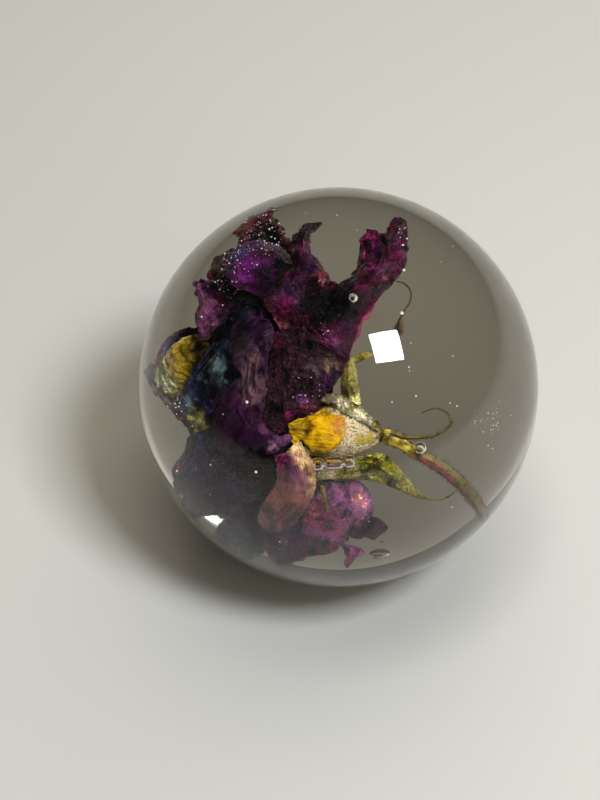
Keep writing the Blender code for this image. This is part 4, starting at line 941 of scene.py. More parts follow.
def wrinkledSheet(sheet, look, seed, outline):  # the surface of one petal and values that its colours follow, among them the fold value that paints light on ridges and shade in valleys
    cells = look["grownCells"]
    wide = grown(sheet, cells)
    places = placed(wide) / mm
    length = np.linalg.norm(np.diff(places, axis=0), axis=-1).sum(axis=0).max()
    widths = np.linalg.norm(np.diff(places, axis=1), axis=-1).sum(axis=1)
    rows = int(np.clip(length * fine["rowsPerMm"], fine["fewest"], fine["mostRows"]))
    columns = int(np.clip(widths.max() * fine["columnsPerMm"], fine["fewest"], fine["mostColumns"]))
    a, b = np.meshgrid(np.linspace(0, 1, rows + 1), np.linspace(0, 1, columns + 1), indexing="ij")
    surface = sampled(smoothGrid(wide), a, b)
    s = a * (wide.shape[0] - 1) / (sheet.shape[0] - 1)
    t = (b * (wide.shape[1] - 1) - cells) / (sheet.shape[1] - 1)
    width = np.interp(a, np.linspace(0, 1, len(widths)), widths)
    alongMm, acrossMm = a * length, (b - 0.5) * width

    def noise(kind, bent=0.0):
        along, across, bendAlong, bendAcross, step = wrinkles[kind]
        return noiseAt(alongMm / along + bendAlong * bent, acrossMm / across + bendAcross * bent, seed + step)

    if outline:
        realStep = np.abs(np.diff(placed(surface)[:, :, 0], axis=1)).mean() / mm
        seenStep = np.abs(np.diff(surface[..., 0], axis=1)).mean()
        inside = insideOutline(surface, outline) * (realStep / seenStep)
    else:
        shareAcross = sheet.shape[1] / wide.shape[1]
        toSide = np.minimum(t, 1 - t) * width * shareAcross
        toTip = (1 - s) * length * sheet.shape[0] / wide.shape[0]
        corner = np.clip((s - fine["cornerStart"]) / fine["cornerReach"], 0, 1) ** 2 * np.abs(2 * t - 1) ** 2
        inside = np.minimum(toSide, toTip) - corner * width * fine["cornerDepth"]
    nibbled = fine["nibble"] * noise("nibbles") + fine["smallNibble"] * noise("smallNibbles")
    torn = np.maximum(noise("tears") - fine["tearLevel"], 0) * fine["tearDepth"]
    inside = inside + look["ragged"] * (nibbled - torn)
    margin = np.clip(1 - inside / fine["marginWidth"], 0, 1)

    broad = noise("broad")
    ridges = {kind: 1 - 2 * np.abs(noise(kind, broad)) for kind in ("folds", "lengthwise", "crosswise")}
    ridges["crepe"] = 1 - 2 * np.abs(noise("crepe", ridges["crosswise"]))
    paintedFoldLight = sum(ridgeShade[kind] * ridge for kind, ridge in ridges.items())
    height = sum((ridgeHeight[kind] * ridge for kind, ridge in ridges.items()), broad)
    wave = noise("waves") + fine["smallWave"] * noise("smallWaves")
    calm = np.clip(s * fine["calmBase"], 0, 1)
    rise = look["crumple"] * height * calm + look["frill"] * margin**1.5 * wave * calm
    rise += sum(high * within(surface, *spot) for *spot, high in look["rises"])
    surface[..., 2] += rise
    return surface, inside, margin, paintedFoldLight, s, t


def tidyCells(cells):  # one connected sheet with no places where it touches itself at a corner
    cells = np.pad(cells, 1)
    while True:
        a, b, c, d = cells[:-1, :-1], cells[:-1, 1:], cells[1:, :-1], cells[1:, 1:]
        crossing = (a & d & ~b & ~c) | (b & c & ~a & ~d)
        if not crossing.any():
            break
        cells[1:, :-1] &= ~crossing
        cells[1:, 1:] &= ~crossing
    label = np.where(cells, np.arange(cells.size).reshape(cells.shape) + 1, 0)
    while True:
        wider = label.copy()
        wider[1:] = np.maximum(wider[1:], label[:-1])
        wider[:-1] = np.maximum(wider[:-1], label[1:])
        wider[:, 1:] = np.maximum(wider[:, 1:], label[:, :-1])
        wider[:, :-1] = np.maximum(wider[:, :-1], label[:, 1:])
        wider *= cells
        if (wider == label).all():
            break
        label = wider
    kinds, counts = np.unique(label[cells], return_counts=True)
    return (label == kinds[counts.argmax()])[1:-1, 1:-1]


def beside(grid, step, axis):  # the next row or column of a grid, where the outermost one stands for itself
    return np.take(grid, np.clip(np.arange(grid.shape[axis]) - step, 0, grid.shape[axis] - 1), axis=axis)


def drawnToOutline(surface, inside, used):  # move the outermost corners out to where the sheet ends
    moved, shares = np.zeros_like(surface), np.zeros(inside.shape)
    for axis, step in ((0, 1), (0, -1), (1, 1), (1, -1)):
        beyond, beyondInside = beside(surface, step, axis), beside(inside, step, axis)
        atEdge = used & (beyondInside <= 0) & (inside > 0)
        share = np.where(atEdge, inside / np.maximum(inside - beyondInside, tiny), 0)
        moved += share[..., None] * (beyond - surface) * atEdge[..., None]
        shares += atEdge
    return surface + moved / np.maximum(shares, 1)[..., None]


grounds = []  # the fronts of the petals, for what lies on them


def closedSheet(name, sheet, thickness, look, seed, outline, pile, side):  # a wrinkled sheet with two faces
    surface, inside, margin, paintedFoldLight, s, t = wrinkledSheet(sheet, look, seed, outline)
    cells = tidyCells(wholeCells(inside > 0))
    used = np.zeros(inside.shape, dtype=bool)
    for rowPart in (slice(None, -1), slice(1, None)):
        for columnPart in (slice(None, -1), slice(1, None)):
            used[rowPart, columnPart] |= cells
    surface = drawnToOutline(surface, inside, used)
    thin = fine["thinMargin"] + (1 - fine["thinMargin"]) * np.sqrt(1 - margin)
    half = 0.5 * thickness * thin / facingOf(surface)
    depth = side * surface[..., 2] - look["sink"]
    lift = np.where(used, np.maximum(pile.under(surface) + fine["gap"] + half - depth, 0), 0)
    for _ in range(fine["settlingRounds"]):
        lift = np.maximum(lift, neighbours(lift, np.mean))
    surface[..., 2] = side * (depth + lift)
    pile.layKept(surface, depth + lift + half, used)

    front, back = surface.copy(), surface.copy()
    front[..., 2] += half
    back[..., 2] -= half
    count = used.sum()
    number = np.full(used.shape, -1)
    number[used] = np.arange(count)
    corners = [number[:-1, :-1], number[:-1, 1:], number[1:, 1:], number[1:, :-1]]
    frontQuads = np.stack([corner[cells] for corner in corners], axis=-1)
    quads = [frontQuads, frontQuads[:, ::-1] + count]
    around = np.pad(cells, 1)
    besides = (around[:-2, 1:-1], around[1:-1, 2:], around[2:, 1:-1], around[1:-1, :-2])
    for place, neighbour in enumerate(besides):
        edge = cells & ~neighbour
        first, second = corners[place][edge], corners[(place + 1) % 4][edge]
        quads.append(np.stack([second, first, first + count, second + count], axis=-1))
    vertices = np.concatenate([placed(front[used]), placed(back[used])])
    obj = meshObject(name, vertices, np.concatenate(quads))
    putUv(obj, np.tile(np.stack([t[used], s[used]], axis=-1), (2, 1)))
    putValues(obj, "margin", np.tile(margin[used], 2))
    putValues(obj, "paintedFoldLight", np.tile(paintedFoldLight[used], 2))
    putColours(obj, "tint", np.tile(tintsOver(surface, look, seed)[used], (2, 1)))
    grounds.append(dict(places=vertices[:count], faces=frontQuads, seen=surface[used]))
    return obj


# Meshes
def inScene(name, data):  # an object for a mesh, a light or a camera
    obj = bpy.data.objects.new(name, data)
    bpy.context.scene.collection.objects.link(obj)
    return obj


def newMesh(name, vertices, faces):
    mesh = bpy.data.meshes.new(name)
    if isinstance(faces, np.ndarray):
        faces = faces.tolist()
    mesh.from_pydata(np.asarray(vertices).tolist(), [], faces)
    return mesh


def meshObject(name, vertices, faces):  # a smooth closed mesh with its faces pointing out
    mesh = newMesh(name, vertices, faces)
    work = bmesh.new()
    work.from_mesh(mesh)
    if work.calc_volume(signed=True) < 0:
        bmesh.ops.reverse_faces(work, faces=work.faces)
    work.to_mesh(mesh)
    work.free()
    mesh.shade_smooth()
    return inScene(name, mesh)


def cornersOf(mesh):  # the vertex that each face corner belongs to
    corners = np.empty(len(mesh.loops), dtype=np.int64)
    mesh.loops.foreach_get("vertex_index", corners)
    return corners


def putUv(obj, places):  # one UV place for each vertex
    layer = obj.data.uv_layers.new(name="UVMap")
    layer.data.foreach_set("uv", places[cornersOf(obj.data)].ravel())


def putValues(obj, label, values):
    attribute = obj.data.attributes.new(label, "FLOAT", "POINT")
    attribute.data.foreach_set("value", np.asarray(values, dtype=np.float32))


def putColours(obj, label, colours):
    attribute = obj.data.attributes.new(label, "FLOAT_COLOR", "POINT")
    withAlpha = np.concatenate([colours, np.ones((len(colours), 1))], axis=1)
    attribute.data.foreach_set("color", withAlpha.ravel().astype(np.float32))


def tubeShell(centres, radii, sides):  # corners, faces and UV places of a closed round thread
    tangents = np.gradient(centres, axis=0)
    tangents /= np.linalg.norm(tangents, axis=1, keepdims=True)
    sideways = np.cross(tangents[0], toEye)
    vertices, uv = [], []
    for place, (centre, tangent, radius) in enumerate(zip(centres, tangents, radii)):
        sideways = sideways - tangent * (sideways @ tangent)
        sideways /= np.linalg.norm(sideways)
        other = np.cross(tangent, sideways)
        for side in range(sides):
            angle = 2 * math.pi * side / sides
            vertices.append(centre + radius * (math.cos(angle) * sideways + math.sin(angle) * other))
            uv.append((side / sides, place / (len(centres) - 1)))
    number = np.arange(len(vertices)).reshape(-1, sides).tolist()
    faces = [
        (first[i], first[(i + 1) % sides], second[(i + 1) % sides], second[i])
        for first, second in zip(number, number[1:])
        for i in range(sides)
    ]
    vertices += [centres[0], centres[-1]]
    uv += [(0.5, 0), (0.5, 1)]
    for ring, tip, turn in ((number[0], len(vertices) - 2, -1), (number[-1], len(vertices) - 1, 1)):
        faces += [(ring[i], ring[(i + 1) % sides], tip)[::turn] for i in range(sides)]
    return np.array(vertices), faces, np.array(uv)


def tube(name, centres, radii, sides):
    vertices, faces, uv = tubeShell(centres, radii, sides)
    obj = meshObject(name, vertices, faces)
    putUv(obj, uv)
    return obj


# Node trees and materials
def newTree(name, kind, inputs, outputs):  # a tree with named inputs and outputs, and those of its two ends
    tree = bpy.data.node_groups.new(name, kind + "NodeTree")
    for label, socketKind, value in inputs:
        socket = tree.interface.new_socket(label, in_out="INPUT", socket_type="NodeSocket" + socketKind)
        if value is not None:
            socket.default_value = value
    for label, socketKind in outputs:
        tree.interface.new_socket(label, in_out="OUTPUT", socket_type="NodeSocket" + socketKind)
    return tree, tree.nodes.new("NodeGroupInput").outputs, tree.nodes.new("NodeGroupOutput").inputs


def addNode(tree, kind, sockets=None, **settings):  # its inputs get values or links
    node = tree.nodes.new(kind if "Node" in kind else "ShaderNode" + kind)
    for key, value in settings.items():
        setattr(node, key, value)
    for key, value in (sockets or {}).items():
        if isinstance(value, bpy.types.NodeSocket):
            tree.links.new(value, node.inputs[key])
        else:
            node.inputs[key].default_value = value
    return node


def inTurn(tree, operation, values):
    result = values[0]
    for value in values[1:]:
        result = addNode(tree, "Math", {0: result, 1: value}, operation=operation).outputs[0]
    return result


def times(tree, *values):
    return inTurn(tree, "MULTIPLY", values)


def plus(tree, *values):
    return inTurn(tree, "ADD", values)


def scaled(tree, vector, share):
    return addNode(tree, "VectorMath", {0: vector, "Scale": share}, operation="SCALE").outputs[0]


def shifted(tree, vector, other):
    return addNode(tree, "VectorMath", {0: vector, 1: other}, operation="ADD").outputs[0]


def mixColours(tree, share, first, second, blend="MIX"):
    sockets = {0: share, 6: first, 7: second}
    return addNode(tree, "Mix", sockets, data_type="RGBA", blend_type=blend).outputs[2]


def spread(tree, value, low, high, toLow=0.0, toHigh=1.0):  # a smooth step from one range to another
    sockets = {"Value": value, "From Min": low, "From Max": high, "To Min": toLow, "To Max": toHigh}
    return addNode(tree, "MapRange", sockets, interpolation_type="SMOOTHSTEP").outputs["Result"]


def noiseIn(tree, place, scale, detail, roughness=0.5):  # the scale is in waves for each metre
    sockets = {"Vector": place, "Scale": scale, "Detail": detail, "Roughness": roughness}
    return addNode(tree, "TexNoise", sockets).outputs["Fac"]


def edgesIn(tree, place, scale):  # how far a place is from the borders of its cell
    sockets = {"Vector": place, "Scale": scale}
    return addNode(tree, "TexVoronoi", sockets, feature="DISTANCE_TO_EDGE").outputs[0]


def placeAndUv(tree):  # where a place lies on its object, and its UV place taken apart
    uv = addNode(tree, "UVMap", uv_map="UVMap").outputs[0]
    return addNode(tree, "TexCoord").outputs["Object"], addNode(tree, "SeparateXYZ", {0: uv}).outputs


def newMaterial(name, sockets):  # a material, its tree and the inputs of its shader
    material = bpy.data.materials.new(name)
    material.use_nodes = True
    shader = material.node_tree.nodes["Principled BSDF"].inputs
    for label, value in sockets.items():
        shader[label].default_value = value
    return material, material.node_tree, shader


def groupMaterial(name, group, values, sockets, strength, distance):  # a shader that shows a group's outputs
    material, tree, shader = newMaterial(name, sockets)
    effect = addNode(tree, "Group", values, node_tree=group).outputs
    tree.links.new(effect["Color"], shader["Base Color"])
    if "Roughness" in effect:
        tree.links.new(effect["Roughness"], shader["Roughness"])
    bump = addNode(tree, "Bump", {"Height": effect["Height"], "Strength": strength, "Distance": distance})
    tree.links.new(bump.outputs[0], shader["Normal"])
    return material


def opaque(name):  # a named colour for a shader socket
    return (*linear(palette[name]), 1)


tissueKeys = (
    "rimShare", "veins", "veinShade", "mottle", "mottleSize", "foldShade", "creaseAndShade", "glint", "grain",
)
# The tissue's textures, as waves for each metre with their detail, or as cells for each metre
tissue = dict(
    veinBend=(130.0, 1.0), veinFading=(420.0, 2.0), grain=(4600.0, 3.0), clumps=(620.0, 3.0),
    creaseCells=1100.0, glintCells=1900.0, push=0.0011, shade=(0.20, 0.15, 0.22, 1), glintGain=2.6,
    glintBase=(0.018, 0.015, 0.018),
)


def petalTissueGroup():  # colour, relief and roughness of a dried petal or sepal
    inputs = [(key, "Float", plainPetal[key]) for key in tissueKeys]
    inputs += [("rim", "Color", (0, 0, 0, 1)), ("seed", "Float", 0.0)]
    outputs = [("Color", "Color"), ("Height", "Float"), ("Roughness", "Float")]
    tree, ins, outs = newTree("petalTissue", "Shader", inputs, outputs)
    place, uv = placeAndUv(tree)
    tint = addNode(tree, "Attribute", attribute_name="tint").outputs["Color"]
    margin = addNode(tree, "Attribute", attribute_name="margin").outputs["Fac"]
    paintedFoldLight = addNode(tree, "Attribute", attribute_name="paintedFoldLight").outputs["Fac"]

    # veins that fan out along the petal and fade in places
    bend = times(tree, noiseIn(tree, place, *tissue["veinBend"]), 0.7)
    across = times(tree, plus(tree, uv[0], bend), ins["veins"])
    fanned = addNode(tree, "CombineXYZ", {0: across, 1: times(tree, uv[1], 5.0), 2: ins["seed"]}).outputs[0]
    waves = {"Vector": fanned, "Scale": 0.5, "Distortion": 6.0, "Detail": 2.5, "Detail Scale": 1.0}
    vein = addNode(tree, "TexWave", waves, wave_type="BANDS", bands_direction="X").outputs["Fac"]
    fading = noiseIn(tree, place, *tissue["veinFading"])
    veinLine = times(tree, spread(tree, vein, 0.6, 1.0), spread(tree, fading, 0.34, 0.58))

    # blots and grain of the tissue's own colour, creases darkened as painted shade and pale glints as painted
    # highlights
    perSize = addNode(tree, "Math", {0: 1000.0, 1: ins["mottleSize"]}, operation="DIVIDE").outputs[0]
    blots = {"Vector": place, "W": ins["seed"], "Scale": perSize, "Detail": 5.0, "Roughness": 0.65}
    patches = addNode(tree, "TexNoise", blots, noise_dimensions="4D").outputs["Fac"]
    grain = noiseIn(tree, place, *tissue["grain"])
    pushed = addNode(tree, "TexNoise", {"Vector": place, "Scale": 900.0, "Detail": 2.0}).outputs["Color"]
    moved = shifted(tree, place, scaled(tree, pushed, tissue["push"]))
    creaseAndShade = spread(tree, edgesIn(tree, moved, tissue["creaseCells"]), 0.16, 0.0)
    creaseAndShade = times(tree, creaseAndShade, ins["creaseAndShade"])
    glint = spread(tree, edgesIn(tree, moved, tissue["glintCells"]), 0.11, 0.0)
    glint = times(tree, glint, spread(tree, noiseIn(tree, place, *tissue["clumps"]), 0.46, 0.62))

    rimShare = times(tree, spread(tree, margin, 0.45, 1.0), spread(tree, patches, 0.35, 0.6), ins["rimShare"])
    colour = mixColours(tree, rimShare, tint, ins["rim"])
    dark = mixColours(tree, 1.0, colour, tissue["shade"], "MULTIPLY")
    mottle = times(tree, spread(tree, patches, 0.55, 0.36), ins["mottle"])
    # mottle and veins darken the tissue's own colour; the darkening along the creases is painted shade
    for share in (mottle, times(tree, veinLine, ins["veinShade"]), times(tree, creaseAndShade, 0.35)):
        colour = mixColours(tree, share, colour, dark)
    # the glints lighten thin lines in clumps: painted highlights
    pale = shifted(tree, scaled(tree, colour, tissue["glintGain"]), tissue["glintBase"])
    colour = mixColours(tree, times(tree, glint, ins["glint"]), colour, pale)
    # painted light on the ridges and painted shade in the valleys, following the fold value
    lit = plus(tree, times(tree, spread(tree, paintedFoldLight, -0.45, 0.65, -0.8, 0.8), ins["foldShade"]), 1.0)
    speckled = plus(tree, times(tree, spread(tree, grain, 0.3, 0.7, -0.28, 0.35), ins["grain"]), 1.0)
    relief = plus(
        tree, times(tree, veinLine, -0.5), times(tree, grain, 0.4), times(tree, glint, 0.6),
        times(tree, creaseAndShade, -0.9),
    )
    tree.links.new(scaled(tree, colour, times(tree, lit, speckled)), outs["Color"])
    tree.links.new(relief, outs["Height"])
    tree.links.new(spread(tree, patches, 0.3, 0.7, 0.3, 0.55), outs["Roughness"])
    return tree


def petalMaterial(name, look, seed, group):
    values = {key: look[key] for key in tissueKeys}
    values.update(rim=opaque(look["rim"]), seed=seed * 0.37)
    return groupMaterial(name, group, values, {"Specular IOR Level": 0.15}, 0.8, 0.00028)


# The rose's petals and sepals
bulbRadius = 0.0037
slimBulb = (
    (0.0, 0.12), (0.05, 0.2), (0.13, 0.42), (0.27, 0.72), (0.42, 0.92), (0.60, 1.0), (0.78, 0.90),
    (0.92, 0.62), (1.0, 0.30),
)


def bulbShape(steps, course):  # the bulb's centres and radii
    ends = placed(bulbEnds)
    profile = smoothRows(course, steps)
    return ends[0] + profile[:, :1] * (ends[1] - ends[0]), profile[:, 1] * bulbRadius


def standsFor(piece, *nodes):  # the piece hangs from the root body and stands in for these nodes, which are hidden
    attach(piece, "root")
    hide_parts(*nodes)


tissueGroup = petalTissueGroup()
pieces = {}
seed = 0
for side, rowsOf in ((1, nearSheets), (-1, farSheets)):
    pile = Pile(sheets["pileCell"], sheets["pileCells"])
    finePile = Pile(fine["pileCell"], fine["pileCells"])
    pile.layBulb(*bulbShape(2, bulbProfile), side)
    finePile.layRoundBulb(*bulbShape(6, slimBulb), side)
    for node, rows in rowsOf.items():
        seed += 31
        kind = "sepalThickness" if node.startswith("sepal") else "petalThickness"
        look = dict(plainPetal)
        look.update(sepalLook if node.startswith("sepal") else {})
        look.update(sepalLooks.get(node, {}))
        look.update(petalLooks.get(node, {}))
        laid = settle(petalSheet(rows), sheets[kind], pile, side)
        sheet = petalSheet(look["rows"]) if look["rows"] else laid
        outline = petalOutlines.get(node)
        piece = closedSheet(node + "_dried", sheet, fine[kind], look, seed, outline, finePile, side)
        piece.data.materials.append(petalMaterial(node + "Tissue", look, seed, tissueGroup))
        pieces[node] = piece
        standsFor(piece, node)
triangles = 2 * sum(len(piece.data.polygons) for piece in pieces.values())
print("petals and sepals:", len(pieces), "pieces,", triangles, "triangles")


# Stem, curled sepal and loose stamen
palette.update(
    stemRed=(146, 80, 58), stemGreen=(112, 106, 50), neckYellow=(240, 216, 90), tendrilBrown=(84, 70, 34),
    tendrilOlive=(112, 104, 48), stamenBrown=(96, 82, 56),
)
# Steps between points, sides, colours under, over and at the start, and how far the start's colour reaches
threads = {
    "stem": ([(382, 437, 4.0, 0.5), *stemPath], 14, 32, ("stemRed", "stemGreen", "neckYellow"), 0.47),
    "sepal_tendril": (
        [(381, 434, 6.2, 0.3), *tendrilPath], 12, 12, ("tendrilBrown", "tendrilOlive", "neckYellow"), 0.17,
    ),
    "stamen_loose": (stamenPath, 12, 12, ("stamenBrown", "tendrilBrown", "stamenBrown"), 0.05),
}
threadLook = dict(
    spots=(900.0, 4.0), streaks=(1.0, 4.0, 0.6), streaksAround=9.0, streaksAlong=3.0,
    shade=(0.38, 0.3, 0.26, 1),
)


def threadSkinGroup():  # colour and relief of a stem, streaked and spotted, with the over colour on top, partly its own tone and partly painted light from above
    inputs = [(label, "Color", (0, 0, 0, 1)) for label in ("under", "over", "start")]
    inputs.append(("startReach", "Float", 0.1))
    tree, ins, outs = newTree("threadSkin", "Shader", inputs, [("Color", "Color"), ("Height", "Float")])
    place, uv = placeAndUv(tree)
    spots = noiseIn(tree, place, *threadLook["spots"])
    up = addNode(tree, "SeparateXYZ", {0: addNode(tree, "NewGeometry").outputs["Normal"]}).outputs[2]
    around = times(tree, uv[0], threadLook["streaksAround"])
    along = times(tree, uv[1], threadLook["streaksAlong"])
    lengthwise = addNode(tree, "CombineXYZ", {0: around, 1: along}).outputs[0]
    streaks = noiseIn(tree, lengthwise, *threadLook["streaks"])
    # the over colour on the faces that look up: partly the thread's own tone, partly painted light from above
    upper = plus(tree, up, spread(tree, streaks, 0.3, 0.7, -0.35, 0.35))
    colour = mixColours(tree, spread(tree, upper, 0.45, 0.85), ins["under"], ins["over"])
    atStart = spread(tree, uv[1], ins["startReach"], times(tree, ins["startReach"], 0.7))
    colour = mixColours(tree, atStart, colour, ins["start"])
    dark = mixColours(tree, 1.0, colour, threadLook["shade"], "MULTIPLY")
    colour = mixColours(tree, spread(tree, spots, 0.54, 0.36), colour, dark)
    colour = mixColours(tree, spread(tree, streaks, 0.46, 0.3), colour, dark)
    tree.links.new(colour, outs["Color"])
    tree.links.new(plus(tree, spots, streaks), outs["Height"])
    return tree


threadSkin = threadSkinGroup()
for node, (path, steps, sides, colours, startReach) in threads.items():
    course = smoothRows(path, steps)
    piece = tube(node + "_dried", placed(course[:, :3]), course[:, 3] * mm, sides)
    values = {label: opaque(colour) for label, colour in zip(("under", "over", "start"), colours)}
    values["startReach"] = startReach
    skin = groupMaterial(node + "Skin", threadSkin, values, {"Roughness": 0.5}, 0.9, 0.0003)
    piece.data.materials.append(skin)
    pieces[node] = piece
    standsFor(piece, node)


# The felty bulb under the bloom
palette.update(moss=(186, 164, 66), feltBrown=(112, 88, 62), feltPink=(212, 184, 160))
bulbColours = dict(under="feltBrown", felt="feltCream", pink="feltPink", green="mustard", neck="gold")
bulbLook = dict(speck=(4200.0, 2.0), broad=(330.0, 3.0), streaks=(210.0, 2.0), uneven=0.4, sides=72, steps=16)
bulbPatches = [  # place, radius in metres, colour
    ((370, 438.5, 6.0), 0.0014, "moss"), ((361, 440, 6.6), 0.0009, "moss"),
    ((384, 437, 4.6), 0.0010, "darkLeaf"),
]


def bulbFeltGroup():  # cream felt, pinkish in places, with green streaks and a gold neck
    inputs = [(label, "Color", opaque(colour)) for label, colour in bulbColours.items()]
    tree, ins, outs = newTree("bulbFelt", "Shader", inputs, [("Color", "Color"), ("Height", "Float")])
    place, uv = placeAndUv(tree)
    speck, broad, streaks = (noiseIn(tree, place, *bulbLook[kind]) for kind in ("speck", "broad", "streaks"))
    colour = mixColours(tree, spread(tree, speck, 0.40, 0.48), ins["under"], ins["felt"])
    colour = mixColours(tree, spread(tree, broad, 0.5, 0.7, 0.0, 0.6), colour, ins["pink"])
    green = times(tree, spread(tree, streaks, 0.48, 0.56), spread(tree, uv[1], 0.34, 0.2))
    colour = mixColours(tree, green, colour, ins["green"])
    for spot, size, name in bulbPatches:
        sockets = {0: place, 1: tuple(placed(spot))}
        away = addNode(tree, "VectorMath", sockets, operation="DISTANCE").outputs[1]
        reach = bulbLook["uneven"] * size
        uneven = plus(tree, away, spread(tree, broad, 0.3, 0.7, -reach, reach))
        colour = mixColours(tree, spread(tree, uneven, size, 0.6 * size), colour, opaque(name))
    colour = mixColours(tree, spread(tree, uv[1], 0.62, 0.85), colour, ins["neck"])
    tree.links.new(colour, outs["Color"])
    tree.links.new(speck, outs["Height"])
    return tree


bulb = tube("receptacle_dried", *bulbShape(bulbLook["steps"], slimBulb), bulbLook["sides"])
bulb.data.materials.append(groupMaterial("bulbFelt", bulbFeltGroup(), {}, {"Roughness": 0.8}, 0.8, 0.0003))
pieces["receptacle"] = bulb
standsFor(bulb, "receptacle")
print("stem, tendril, stamen and bulb done")


# The clear ball with its air bubbles
bubbles = [  # across, down, depth in mm, radius in mm, stretch across
    (353, 298, 14.5, 0.72, 1.0), (420, 448.5, 5.5, 0.92, 1.0), (379.5, 554, 3.0, 0.9, 1.75),
    (382, 542, 3.0, 0.16, 1.0),
]
tubeBubble = dict(
    ends=((312, 465, 14.6), (355, 461.5, 14.6)), radius=1.0, rooms=(0.0, 0.27, 0.74, 1.0), neck=0.55,
    tip=0.02, tipReach=0.01, blunt=5, roundness=0.4, steps=30, sides=32,
)


def ballShell():  # the ball with its ground flat
    across = np.arange(ball["longitudes"]) * 2 * math.pi / ball["longitudes"]
    lowest = -math.asin(ball["centreHeight"] / ball["radius"])
    rise = np.linspace(lowest, math.pi / 2, ball["latitudes"] + 1)[:-1]
    up, turn = np.meshgrid(rise, across, indexing="ij")
    level = np.cos(up)
    rings = ball["radius"] * np.stack([level * np.cos(turn), level * np.sin(turn), np.sin(up)], axis=-1)
    vertices = rings.reshape(-1, 3).tolist() + [[0, 0, ball["radius"]], [0, 0, -ball["centreHeight"]]]
    number = np.arange(rings[..., 0].size).reshape(rings.shape[:2])
    first, second = number[:-1], number[1:]
    quads = np.stack([first, np.roll(first, -1, 1), np.roll(second, -1, 1), second], axis=-1)
    faces = quads.reshape(-1, 4).tolist()
    top, bottom = len(vertices) - 2, len(vertices) - 1
    last, base = number[-1].tolist(), number[0].tolist()
    faces += [(last[i], last[(i + 1) % len(last)], top) for i in range(len(last))]
    faces += [(base[(i + 1) % len(base)], base[i], bottom) for i in range(len(base))]
    return np.array(vertices) + ballCentre, faces


def bubbleShell(across, down, depth, radius, stretch, levels=4, turn=-1):  # a turn of -1 makes it a hollow
    work = bmesh.new()
    bmesh.ops.create_icosphere(work, subdivisions=levels, radius=radius * mm)
    corners = np.array([vertex.co for vertex in work.verts])
    corners = corners + np.outer(corners @ toRight, toRight) * (stretch - 1)
    faces = [tuple(vertex.index for vertex in face.verts)[::turn] for face in work.faces]
    work.free()
    return corners + placed((across, down, depth)), faces


def tubeBubbleShell():  # a long bubble of three rooms
    start, end = placed(tubeBubble["ends"])
    inRoom = (1 - np.cos(np.linspace(0, math.pi, tubeBubble["steps"]))) / 2
    roundness = (1 - np.abs(2 * inRoom - 1) ** tubeBubble["blunt"]) ** tubeBubble["roundness"]
    rooms = tubeBubble["rooms"]
    share = np.concatenate([first + inRoom * (last - first) for first, last in zip(rooms, rooms[1:])])
    between = (share > tubeBubble["tipReach"]) & (share < 1 - tubeBubble["tipReach"])
    least = np.where(between, tubeBubble["neck"], tubeBubble["tip"])
    radii = tubeBubble["radius"] * mm * np.maximum(np.tile(roundness, len(rooms) - 1), least)
    kept = np.append(True, np.diff(share) > 1e-6)
    corners, shell, _ = tubeShell(start + share[kept, None] * (end - start), radii[kept], tubeBubble["sides"])
    return corners, [face[::-1] for face in shell]


def joined(shells):  # one set of corners and faces from several
    vertices, faces = np.zeros((0, 3)), []
    for corners, shell in shells:
        faces += [tuple(corner + len(vertices) for corner in face) for face in shell]
        vertices = np.concatenate([vertices, corners])
    return vertices, faces


resinLook = {
    "Base Color": ball["tint"], "Roughness": 0.0, "IOR": ball["refraction"], "Transmission Weight": 1.0,
}
shells = [ballShell(), *(bubbleShell(*bubble) for bubble in bubbles), tubeBubbleShell()]
resin = meshObject("resin_ball", *joined(shells))
resin.data.set_sharp_from_angle(angle=math.radians(10))
resin.data.materials.append(newMaterial("clearResin", resinLook)[0])
standsFor(resin, "resin_upper", "resin_lower")
print("clear ball with", len(bubbles) + 1, "bubbles")


# What lies on the petals and grows on the green parts, scattered over their surfaces
palette.update(beadWhite=(252, 250, 246), hairCream=(226, 218, 190), hairBrown=(70, 54, 26))
sparkle = dict(  # places as across, down, radius and share
    places=[
        (265, 232, 22, 1.0), (242, 255, 20, 1.0), (222, 285, 14, 0.8), (205, 318, 14, 0.6),
        (400, 236, 10, 0.9), (322, 330, 10, 0.3), (300, 395, 18, 0.25), (366, 510, 8, 0.9),
        (176, 405, 9, 1.0), (190, 425, 6, 0.8), (230, 420, 14, 0.12), (212, 478, 18, 0.15),
        (281, 545, 9, 0.4),
    ],
    leastShare=0.02, perSquareMm=2.6, smallest=0.03, largest=0.13, seed=11,
)
felt = dict(
    bulb=dict(perSquareMm=30, length=0.36, width=0.032, lean=0.9),
    stem=dict(perSquareMm=7, length=0.55, width=0.045, lean=0.5),
    sepals=dict(perSquareMm=9, length=0.42, width=0.034, lean=0.7),
)
